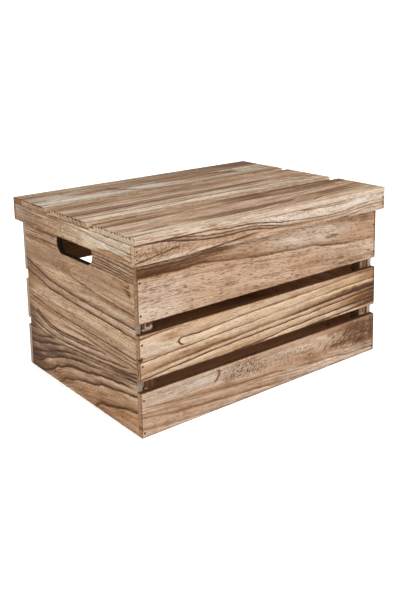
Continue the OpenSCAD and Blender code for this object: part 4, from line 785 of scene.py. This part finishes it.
boards["lid_slat_middle"] = wood(
    "wood_slat_middle", (("x", 1, 250), ("y", 1, 56), ("z", 1, -279)), (500, 109, 9), (208, 184, 160), (184, 153, 126), (136, 104, 76), seed=8.2,
    flow=([(0, 0), (250, -2), (500, -6)], [(0, 0), (250, 2), (500, 4)], 100, 10),
    lines=[
        (0.6, [(0, 93), (60, 92.5), (117, 92), (230, 93), (300, 92), (500, 90)], {"p": "wide", "w": 0.6, "s": [(0, 0.3), (20, 0.6), (117, 0.7), (140, 0.5), (170, 1), (300, 0.9), (330, 0.4), (500, 0.3)]}),
        (0.65, [(0, 104.5), (60, 105), (120, 104)], {"p": "wide", "w": 0.4, "broken": True, "s": [(10, 0), (25, 1), (95, 0.9), (120, 0)]}),
        (0.5, [(7, 77.7), (32, 77.5)], {"p": "thin", "broken": True, "s": [(5, 0), (8, 1), (30, 1), (34, 0)]}),
        (0.8, [(0, 64.5), (117, 64.5), (200, 65), (300, 66)], {"p": "broad", "w": 0.6, "s": [(0, 1), (117, 1), (200, 0.5), (320, 0)]}),
        (0.95, [(0, 49), (100, 50), (160, 53), (250, 53), (300, 57), (367, 57), (430, 54)], {"p": "wide", "w": 0.65, "s": [(0, 1), (90, 1), (130, 0.6), (160, 0.95), (250, 0.9), (367, 0.8), (400, 0.3), (430, 0)]}),
        (0.5, [(0, 58), (120, 58.5), (300, 62), (420, 60)], {"p": "sharp", "s": [(0, 1), (120, 1), (300, 0.6), (400, 0)]}),
        (0.5, [(0, 26), (200, 26), (500, 28)], {"p": "broad", "w": 0.6}),
        (0.8, [(420, 52), (430, 41), (440, 30)], {"p": "wide", "w": 0.5, "s": [(418, 0), (424, 1), (436, 1), (441, 0)]}),
        (0.8, [(450, 51), (470, 42), (488, 35)], {"p": "wide", "w": 0.6, "s": [(447, 0), (456, 1), (480, 1), (490, 0)]}),
        (0.7, [(430, 27), (450, 21), (470, 14)], {"p": "wide", "w": 0.6, "s": [(428, 0), (436, 1), (462, 1), (472, 0)]}),
        (0.9, [(0, 72), (60, 72), (150, 72)], {"p": "glow", "w": 0.4, "s": [(0, 1), (130, 1), (160, 0)]}),
    ],
    bands=[(0, 0.9), (3, 1.15), (20, 1.15), (27, 0.75), (34, 1.0), (44, 0.8), (52, 0.25), (60, 0.4), (72, 0.95), (82, 0.85), (92, 0.3), (100, 0.5), (109, 0.25)],
    patches=[
        (150, 14, 190, 12, 0.55, "pale"), (150, 14, 190, 12, 0.45, "cream"), (170, 30, 150, 8, 0.5, "cream"), (370, 100, 60, 10, 0.5, "brown"), (400, 50, 70, 10, 0.35, "pale"), (408, 47, 2.6, 2.4, 1.0, "white", 1), (410, 43.5, 2.0, 1.8, 1.0, "white", 1), (430, 86, 55, 18, 0.4, "pink"), (420, 44, 20, 8, 0.7, "brown"), (465, 42, 26, 9, 0.7, "brown"), (450, 70, 30, 8, 0.5, "brown"), (280, 98, 120, 7, 0.5, "brown"),
        (60, 103, 40, 4, 0.9, "burn"), (330, 57, 90, 7, 0.75, "coffee"), (480, 100, 30, 8, 0.8, "coffee"), (170, 79, 60, 5, 0.5, "pale"), (170, 104, 50, 4, 0.5, "tan"), (226, 92, 9, 4, 0.7, "burn"),
        (250, 2, 260, 3, 0.4, "orange"),
    ],
    ends=0.95, end_colour=(218, 186, 154), rings=(12, -1.2, 0.7), end_marks=[(30, 14, 0.45, "brown"), (70, 10, 0.3, "brown")],
    front_face=((244, 204, 168), 4.3, [(0, 0.0), (10, 0.2), (16, 0.75), (80, 0.75), (92, 0.25), (100, 0.5), (133, 0.5), (150, 0.15), (225, 0.2), (240, 0.5), (283, 0.6), (290, 0.8), (320, 0.8), (340, 0.45), (360, 0.9), (477, 0.9), (500, 0.6)], [(0, 0.4), (500, 0.4)]), **SLAT)

boards["lid_slat_front"] = wood(
    "wood_slat_front", (("x", 1, 250), ("y", 1, 180), ("z", 1, -279)), (500, 103.5, 9), (208, 181, 153), (184, 150, 120), (136, 102, 72), seed=9.5,
    flow=([(0, 0), (250, 2), (500, 4)], [(0, 0), (250, 8), (400, 18), (500, 22)], 95, 10),
    lines=[
        (0.85, [(0, 84), (100, 85), (140, 89), (167, 93), (200, 96.5), (260, 99), (340, 101)], {"p": "broad", "w": 0.7, "s": [(0, 0.9), (100, 0.9), (200, 0.7), (300, 1), (340, 0.6)]}),
        (0.85, [(220, 90), (250, 85), (290, 84), (320, 88)], {"p": "wide", "w": 0.7, "s": [(215, 0), (250, 1), (290, 1), (325, 0)]}),
        (0.5, [(233, 95), (300, 96), (400, 97), (500, 99)], {"p": "wide", "w": 0.6, "s": [(220, 0), (250, 1), (310, 0.8), (400, 0.4), (500, 0.6)]}),
        (0.6, [(67, 65), (110, 65.5), (150, 66)], {"p": "thin", "s": [(60, 0), (75, 1), (140, 1), (155, 0)]}),
        (0.4, [(0, 55), (160, 57), (300, 62), (500, 70)], {"p": "thin"}),
        (0.8, [(60, 20), (90, 24), (180, 28), (260, 33), (300, 35), (320, 37), (400, 47), (500, 56)], {"p": "broad", "w": 0.7, "s": [(0, 0), (70, 0.2), (120, 0.5), (230, 0.7), (287, 1), (317, 1), (335, 0.4), (400, 0.8), (450, 0.8), (500, 0.4)]}),
        (0.9, [(283, 34), (300, 34.5), (320, 36)], {"p": "wide", "w": 0.45, "s": [(280, 0), (288, 1), (315, 1), (323, 0)]}),
        (0.7, [(250, 30), (268, 33), (285, 37)], {"p": "wide", "w": 0.7, "s": [(245, 0), (255, 1), (285, 0.8), (290, 0)]}),
        (0.75, [(383, 40), (410, 45), (450, 49)], {"p": "wide", "w": 0.9, "s": [(375, 0), (390, 1), (445, 1), (460, 0)]}),
        (0.9, [(345, 15.5), (358, 20), (372, 24)], {"p": "thin", "w": 1.3, "s": [(343, 0), (348, 1), (368, 1), (373, 0)]}),
        (0.7, [(330, 51), (350, 49), (370, 46)], {"p": "thin", "w": 1.2, "s": [(328, 0), (335, 1), (365, 1), (372, 0)]}),
        (0.6, [(10, 1.2), (53, 1.2)], {"p": "thin", "s": [(8, 0), (12, 1), (50, 1), (56, 0)]}),
    ],
    bands=[(0, 1.05), (14, 1.0), (24, 0.55), (34, 0.35), (44, 0.55), (60, 0.65), (70, 1.0), (77, 0.9), (84, 0.25), (92, 0.6), (103, 0.25)],
    patches=[
        (425, 46, 60, 7, 0.6, "brown"), (170, 28, 80, 8, 0.4, "umber"), (300, 36, 28, 3.4, 0.8, "burn"), (275, 84, 30, 8, 0.8, "brown"), (70, 12, 160, 15, 1.0, "cream"), (50, 5, 110, 9, 0.6, "cream", 1), (350, 70, 90, 8, 0.35, "pale"), (40, 27, 90, 12, 0.9, "cream"), (110, 60, 130, 16, 0.5, "cream"), (120, 97, 120, 7, 0.3, "cream"), (485, 97, 40, 12, 0.7, "burn"), (330, 94, 90, 8, 0.6, "brown"), (60, 86, 70, 5, 0.8, "brown"), (380, 80, 120, 12, 0.6, "coffee"), (440, 88, 70, 10, 0.7, "coffee"), (485, 92, 30, 12, 0.8, "coffee"), (470, 76, 8, 6, 0.75, "gold", 1),
        (300, 7, 220, 8, 0.35, "pink"), (463, 86, 10, 3, 0.7, "burn", 1), (497, 90, 4, 10, 0.8, "burn"), (267, 34, 18, 6, 0.6, "coffee"), (340, 92, 40, 6, 0.4, "pink"),
    ],
    hatch=[(190, 27, 90, 10, 0.85, 7.0), (233, 30, 50, 11, 0.9, 6.5)],
    ends=0.95, end_colour=(228, 201, 170), rings=(8.0, -0.5, 0.35),
    front_face=((216, 190, 167), 0.4, [(0, 1), (100, 0.8), (130, 0.2), (500, 0.0)], [(0, 0.8), (20, 1), (130, 1), (170, 0.7), (250, 0.3), (350, 0.15), (500, 0.3)]), **{**SLAT, "edge": 0.25})


# boards that the picture doesn't show, or hardly: same wood, each with a grain of its own
def auto_lines(seed, length, width, count, slope=0.0, cathedral=False):
    rnd = random.Random(seed)
    out = []
    bow = rnd.uniform(-0.05, 0.05) * width
    for i in range(count):
        base = width * (i + rnd.uniform(0.15, 0.85)) / count
        pts = []
        for j in range(7):
            t = j / 6
            pts.append((t * length, base + slope * (t - 0.5) * length + bow * math.sin(math.pi * t) + rnd.uniform(-0.6, 0.6)))
        out.append((rnd.uniform(0.5, 0.95), pts, {
            "p": rnd.choice(["sharp", "sharp", "broad", "thin"]), "w": rnd.uniform(0.6, 1.0), "below": rnd.random() < 0.3,
            "s": [(0, rnd.uniform(0.5, 1)), (length * 0.35, rnd.uniform(0.5, 1)), (length * 0.7, rnd.uniform(0.4, 1)), (length, rnd.uniform(0.5, 1))]}))
    if cathedral:
        a = rnd.uniform(0.2, 0.45) * length
        vc = rnd.uniform(0.4, 0.6) * width
        for k in range(3):
            a0 = a + k * length * 0.09
            hgt = width * (0.22 - 0.05 * k)
            up, dn = [], []
            for t in (0, 0.02, 0.06, 0.15, 0.3, 0.6, 1):
                uu = a0 + t * (length - a0)
                h = hgt * math.sqrt(t)
                up.append((uu, vc + h))
                dn.append((uu, vc - h))
            s = [(a0 - 3, 0), (a0, 1), (length, 0.7)]
            out.append((0.6, up, {"p": "sharp", "s": s}))
            out.append((0.6, dn, {"p": "sharp", "s": s, "below": True}))
    return out


def auto_patches(seed, length, width):
    rnd = random.Random(seed * 7 + 1)
    out = []
    for i in range(5):
        out.append((rnd.uniform(0, length), rnd.uniform(0, width), rnd.uniform(40, 110), rnd.uniform(5, 16), rnd.uniform(0.3, 0.7),
                    rnd.choice(["burn", "umber", "pale", "tan", "umber", "brown"])))
    return out


def auto(name, axes, size, seed, tone_shift=0, count=7, slope=0.0, cathedral=False, more_patches=(), **kw):
    kw.setdefault("strands", (4.6, 0.45))
    kw.setdefault("ink", 1.25)
    L, M, D = (tuple(c + tone_shift for c in x) for x in (LIGHT, MID, DEEP))
    length, width, _ = size
    return wood("wood_" + name, axes, size, L, M, D, seed=seed, lines=auto_lines(seed, length, width, count, slope, cathedral),
                patches=auto_patches(seed, length, width) + list(more_patches), **kw)


REAR_ENDS = dict(ends=0.97, end_colour=(172, 163, 152), rings=(9, 0.4, 0.2), edge=0.15)
REAR = lambda z0: (("x", -1, 241), ("z", 1, -z0), ("y", -1, 169.5))
boards["rear_board_top"] = auto("rear_top", REAR(166), (482, 113, 8.5), 11, count=8, slope=0.02, cathedral=True, nails=(4.5, [(11.5, 57)]), inner=1.0, inner_gain=0.66, **REAR_ENDS)
boards["rear_board_middle"] = auto("rear_middle", REAR(82), (482, 68, 8.5), 12, count=8, slope=-0.03, nails=(4.5, [(22, 54)]), inner=1.0, **REAR_ENDS)
boards["rear_board_bottom"] = auto("rear_bottom", REAR(0), (482, 69.5, 8.5), 13, count=6, slope=0.015, cathedral=True, nails=(4.5, [(7, 58.5)]), inner=1.0, **REAR_ENDS)
boards["end_panel_right"] = auto("end_right", (("y", 1, 169.5), ("z", 1, 0), ("x", -1, 241)), (339, 279, 9), 14, count=13, slope=0.05, cathedral=True, slot_hole=(171.5, 236, 37, 15.5), inner=1.0, ends=0.9, end_colour=(178, 172, 165), rings=(9, 0.4, 0.15))
boards["lid_rim_rear"] = auto("rim_rear", (("x", -1, 250), ("z", 1, -250.5), ("y", -1, 180)), (500, 28.5, 7.5), 15, count=5, slope=0.01, tilt=0.2)
boards["lid_rim_right"] = auto("rim_right", (("y", 1, 180), ("z", 1, -250.5), ("x", -1, 250)), (360, 28.5, 7.5), 16, count=5, slope=-0.012, tilt=0.2)
for i, (n, y0) in enumerate((("front", -161), ("middle", -50.65), ("rear", 59.7))):
    lo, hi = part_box("base_board_" + n)
    boards["base_board_" + n] = auto("base_" + n, (("x", 1, 241), ("y", 1, -lo.y * 1000), ("z", 1, -lo.z * 1000)), (464, (hi.y - lo.y) * 1000, 9), 17 + i, count=6, slope=0.01 * (i - 1), cathedral=i == 1, pores=0.6, inner=0.9, tint=(0.9, 0.8, 0.7))
for i, side in enumerate(("left", "right")):
    lo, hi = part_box("base_cleat_" + side)
    boards["base_cleat_" + side] = auto("cleat_" + side, (("y", 1, -lo.y * 1000), ("x", 1, -lo.x * 1000), ("z", 1, -lo.z * 1000)), tuple(1000 * (hi[k] - lo[k]) for k in (1, 0, 2)), 21 + i, count=4, tint=(0.9, 0.78, 0.66))
POST = {
    # front_left is tinted very dark: painted shade for a post that sits inside the box and is seen only in shadow
    # through the gaps
    "front_left": dict(tint=(0.44, 0.34, 0.27)),
    "front_right": dict(tint=(0.78, 0.72, 0.66), side=("v", 2.2, 0.6, (122, 90, 64))),
    "rear_left": dict(tint=(1.05, 0.84, 0.66), ink=0.8),
    "rear_right": dict(tint=(1.05, 0.84, 0.66), ink=0.8),
}
for i, corner in enumerate(("front_left", "front_right", "rear_left", "rear_right")):
    lo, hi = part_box("corner_post_" + corner)
    # painted shadow: dark lines where the slit between a front post and the end panel lies in shade
    slit_shadow = {"front_right": [(126, 18.2, 900, 3.4, 1.0, "char", 1), (126, 18.2, 900, 2.6, 1.0, "char", 1)], "front_left": [(126, 1.0, 900, 2.0, 1.0, "char", 1)]}.get(corner, [])
    boards["corner_post_" + corner] = auto("post_" + corner, (("z", 1, -lo.z * 1000), ("x", 1, -lo.x * 1000), ("y", 1, -lo.y * 1000)), tuple(1000 * (hi[k] - lo[k]) for k in (2, 0, 1)), 24 + i, count=4, more_patches=slit_shadow, **POST[corner])

for n, mat in boards.items():
    dress(n, mat)
    soften(n, 0.55 if n.startswith("lid_rim") else 0.7)


# ---------------------------------------------------------------- nails
def nail_metal():
    g = Graph("nail_metal")
    tc = g.new("ShaderNodeTexCoord")
    p = g.vm("SCALE", F(g, tc.outputs["Object"]))
    p.sock.node.inputs["Scale"].default_value = 1000.0
    rust = g.noise(g.vm("MULTIPLY", p, (1.1, 1.1, 1.1)), 3.0, 0.6)
    scratch = g.noise(g.vm("MULTIPLY", p, (6.0, 1.0, 6.0)), 2.0, 0.6)
    col = g.mix(g.step(rust, 0.42, 0.62), lin((46, 42, 40)), lin((72, 48, 34)))
    col = g.mix(g.step(scratch, 0.58, 0.72, 0, 0.4), col, lin((96, 88, 80)))
    b = g.new("ShaderNodeBsdfPrincipled")
    b.inputs["Metallic"].default_value = 0.8
    g.put(b.inputs["Base Color"], col)
    g.put(b.inputs["Roughness"], g.step(rust, 0.35, 0.65, 0.42, 0.75))
    bp = g.new("ShaderNodeBump")
    bp.inputs["Strength"].default_value = 0.5
    bp.inputs["Distance"].default_value = 0.0001
    g.put(bp.inputs["Height"], rust + scratch * 0.5)
    g.t.links.new(bp.outputs[0], b.inputs["Normal"])
    out = g.new("ShaderNodeOutputMaterial")
    g.t.links.new(b.outputs[0], out.inputs[0])
    return g.mat


metal = nail_metal()
for n in ("front_nails", "rear_nails", "base_nails", "lid_nails"):
    dress(n, metal)


# ---------------------------------------------------------------- squeezed-out glue
def glue_material():
    g = Graph("dried_glue")
    tc = g.new("ShaderNodeTexCoord")
    p = g.vm("SCALE", F(g, tc.outputs["Object"]))
    p.sock.node.inputs["Scale"].default_value = 1000.0
    cloud = g.noise(g.vm("MULTIPLY", p, (0.35, 0.35, 0.22)), 3.0, 0.6)
    fleck = g.noise(g.vm("MULTIPLY", p, (1.3, 1.3, 1.3)), 2.0, 0.6)
    col = g.mix(g.step(cloud, 0.36, 0.64), lin((156, 130, 117)), lin((118, 92, 80)))
    col = g.mix(g.step(fleck, 0.54, 0.68, 0, 0.7), col, lin((78, 56, 45)))
    b = g.new("ShaderNodeBsdfPrincipled")
    g.put(b.inputs["Base Color"], col)
    g.put(b.inputs["Roughness"], g.step(cloud, 0.3, 0.7, 0.32, 0.5))
    bp = g.new("ShaderNodeBump")
    bp.inputs["Strength"].default_value = 0.4
    bp.inputs["Distance"].default_value = 0.0002
    g.put(bp.inputs["Height"], cloud + fleck * 0.4)
    g.t.links.new(bp.outputs[0], b.inputs["Normal"])
    out = g.new("ShaderNodeOutputMaterial")
    g.t.links.new(b.outputs[0], out.inputs[0])
    return g.mat


glue = glue_material()


def bead(name, path, wide, deep, seed, normal=(0, -1, 0)):
    """A lumpy run of glue along a path (mm), lying on a face that looks along normal."""
    rnd = random.Random(seed)
    nrm = Vector(normal)
    pts = []
    for i in range(len(path) - 1):
        a, b = Vector(path[i]), Vector(path[i + 1])
        n = max(2, int((b - a).length / 1.6))
        pts += [a.lerp(b, k / n) for k in range(n)]
    pts.append(Vector(path[-1]))
    bm = bmesh.new()
    rings = []
    count = len(pts)
    for i, c in enumerate(pts):
        along = (pts[min(i + 1, count - 1)] - pts[max(i - 1, 0)]).normalized()
        across = along.cross(nrm).normalized()
        taper = math.sin(math.pi * (i + 0.6) / (count + 0.2)) ** 0.45
        half = wide * taper * rnd.uniform(0.65, 1.25)
        high = deep * taper * rnd.uniform(0.7, 1.2)
        shift = across * (wide * rnd.uniform(-0.25, 0.25))
        ring = []
        for k in range(10):
            a = 2 * math.pi * k / 10
            ring.append(bm.verts.new((c + shift + across * (half * math.cos(a)) + nrm * (high * math.sin(a))) / 1000))
        rings.append(ring)
    for a, b in zip(rings, rings[1:]):
        for k in range(10):
            bm.faces.new((a[k], a[(k + 1) % 10], b[(k + 1) % 10], b[k]))
    bm.faces.new(list(reversed(rings[0])))
    bm.faces.new(rings[-1])
    bmesh.ops.recalc_face_normals(bm, faces=bm.faces)
    me = bpy.data.meshes.new(name)
    bm.to_mesh(me)
    bm.free()
    for f in me.polygons:
        f.use_smooth = True
    o = bpy.data.objects.new(name, me)
    bpy.context.scene.collection.objects.link(o)
    me.materials.append(glue)
    sub = o.modifiers.new("round", "SUBSURF")
    sub.levels = sub.render_levels = 1
    return o


Y_FACE = -161.0
for i, (path, wide, deep) in enumerate([
    ([(-230.8, Y_FACE, 152.0), (-226, Y_FACE, 153.0), (-219, Y_FACE, 153.6), (-212.4, Y_FACE, 154.2)], 3.1, 0.9),
    ([(-224.2, Y_FACE, 156.5), (-224.4, Y_FACE, 160), (-225.2, Y_FACE, 163.4)], 0.7, 0.5),
    ([(-217.0, Y_FACE, 156.0), (-214.2, Y_FACE, 157.6)], 1.7, 0.8),
    ([(-226.5, Y_FACE, 155.4), (-223.4, Y_FACE, 157.2)], 1.5, 0.7),
    ([(-230.6, Y_FACE, 67.4), (-227, Y_FACE, 67.6), (-223.5, Y_FACE, 67.0)], 0.9, 0.6),
    ([(-231.2, Y_FACE, 79.0), (-231.2, Y_FACE, 70.0)], 0.7, 0.5),
    ([(213.5, Y_FACE, 67.3), (219, Y_FACE, 68.2), (225, Y_FACE, 67.4)], 1.5, 0.8),
    ([(221.5, Y_FACE, 81.8), (222.5, Y_FACE, 76.5)], 1.2, 0.7),
    ([(-231.0, 161.0, 74), (-224, 161.0, 71.4), (-214, 161.0, 70.8)], 1.4, 0.8),
    ([(214.0, 161.0, 151.6), (222, 161.0, 151.2), (230.5, 161.0, 152.4)], 1.5, 0.8),
]):
    g_bead = bead("glue_bead_%d" % (i + 1), path, wide, deep, 40 + i, (0, -1, 0) if path[0][1] < 0 else (0, 1, 0))
    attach(g_bead, "crate")


# ---------------------------------------------------------------- floor and light
def floor_material():
    g = Graph("floor_paper")
    tc = g.new("ShaderNodeTexCoord")
    n = g.noise(g.vm("MULTIPLY", F(g, tc.outputs["Object"]), (9.0, 9.0, 9.0)), 3.0)
    col = g.mix(g.step(n, 0.3, 0.7), lin((250, 250, 250)), lin((246, 246, 246)))
    b = g.new("ShaderNodeBsdfPrincipled")
    g.put(b.inputs["Base Color"], col)
    b.inputs["Roughness"].default_value = 0.9
    b.inputs["Specular IOR Level"].default_value = 0.1
    b.inputs["Emission Color"].default_value = (1.0, 1.0, 1.0, 1.0)
    b.inputs["Emission Strength"].default_value = 0.2
    out = g.new("ShaderNodeOutputMaterial")
    g.t.links.new(b.outputs[0], out.inputs[0])
    return g.mat


fm = bpy.data.meshes.new("floor")
fm.from_pydata([(-9, -9, 0), (9, -9, 0), (9, 9, 0), (-9, 9, 0)], [], [(0, 1, 2, 3)])
floor = bpy.data.objects.new("floor", fm)
bpy.context.scene.collection.objects.link(floor)
fm.materials.append(floor_material())

world = bpy.data.worlds.new("studio")
bpy.context.scene.world = world
world.use_nodes = True
bg = world.node_tree.nodes.get("Background") or world.node_tree.nodes.new("ShaderNodeBackground")
bg.inputs[0].default_value = (1.0, 1.0, 1.0, 1.0)
bg.inputs[1].default_value = 1.45
wo = world.node_tree.nodes.get("World Output") or world.node_tree.nodes.new("ShaderNodeOutputWorld")
world.node_tree.links.new(bg.outputs[0], wo.inputs[0])


def softbox(name, at, to, size, power):
    d = bpy.data.lights.new(name, "AREA")
    d.shape = "RECTANGLE"
    d.size, d.size_y = size
    d.energy = power
    o = bpy.data.objects.new(name, d)
    bpy.context.scene.collection.objects.link(o)
    o.location = at
    o.rotation_euler = (Vector(to) - Vector(at)).to_track_quat("-Z", "Y").to_euler()
    return o


softbox("key", (1.3, -2.2, 2.3), (0, 0, 0.15), (1.8, 1.8), 60)
softbox("top", (0.2, 0.3, 2.6), (0, 0, 0.1), (2.0, 2.0), 12)

scene = bpy.context.scene
scene.view_settings.view_transform = "Standard"
scene.view_settings.look = "None"
scene.view_settings.exposure = 0.0
scene.view_settings.gamma = 1.0
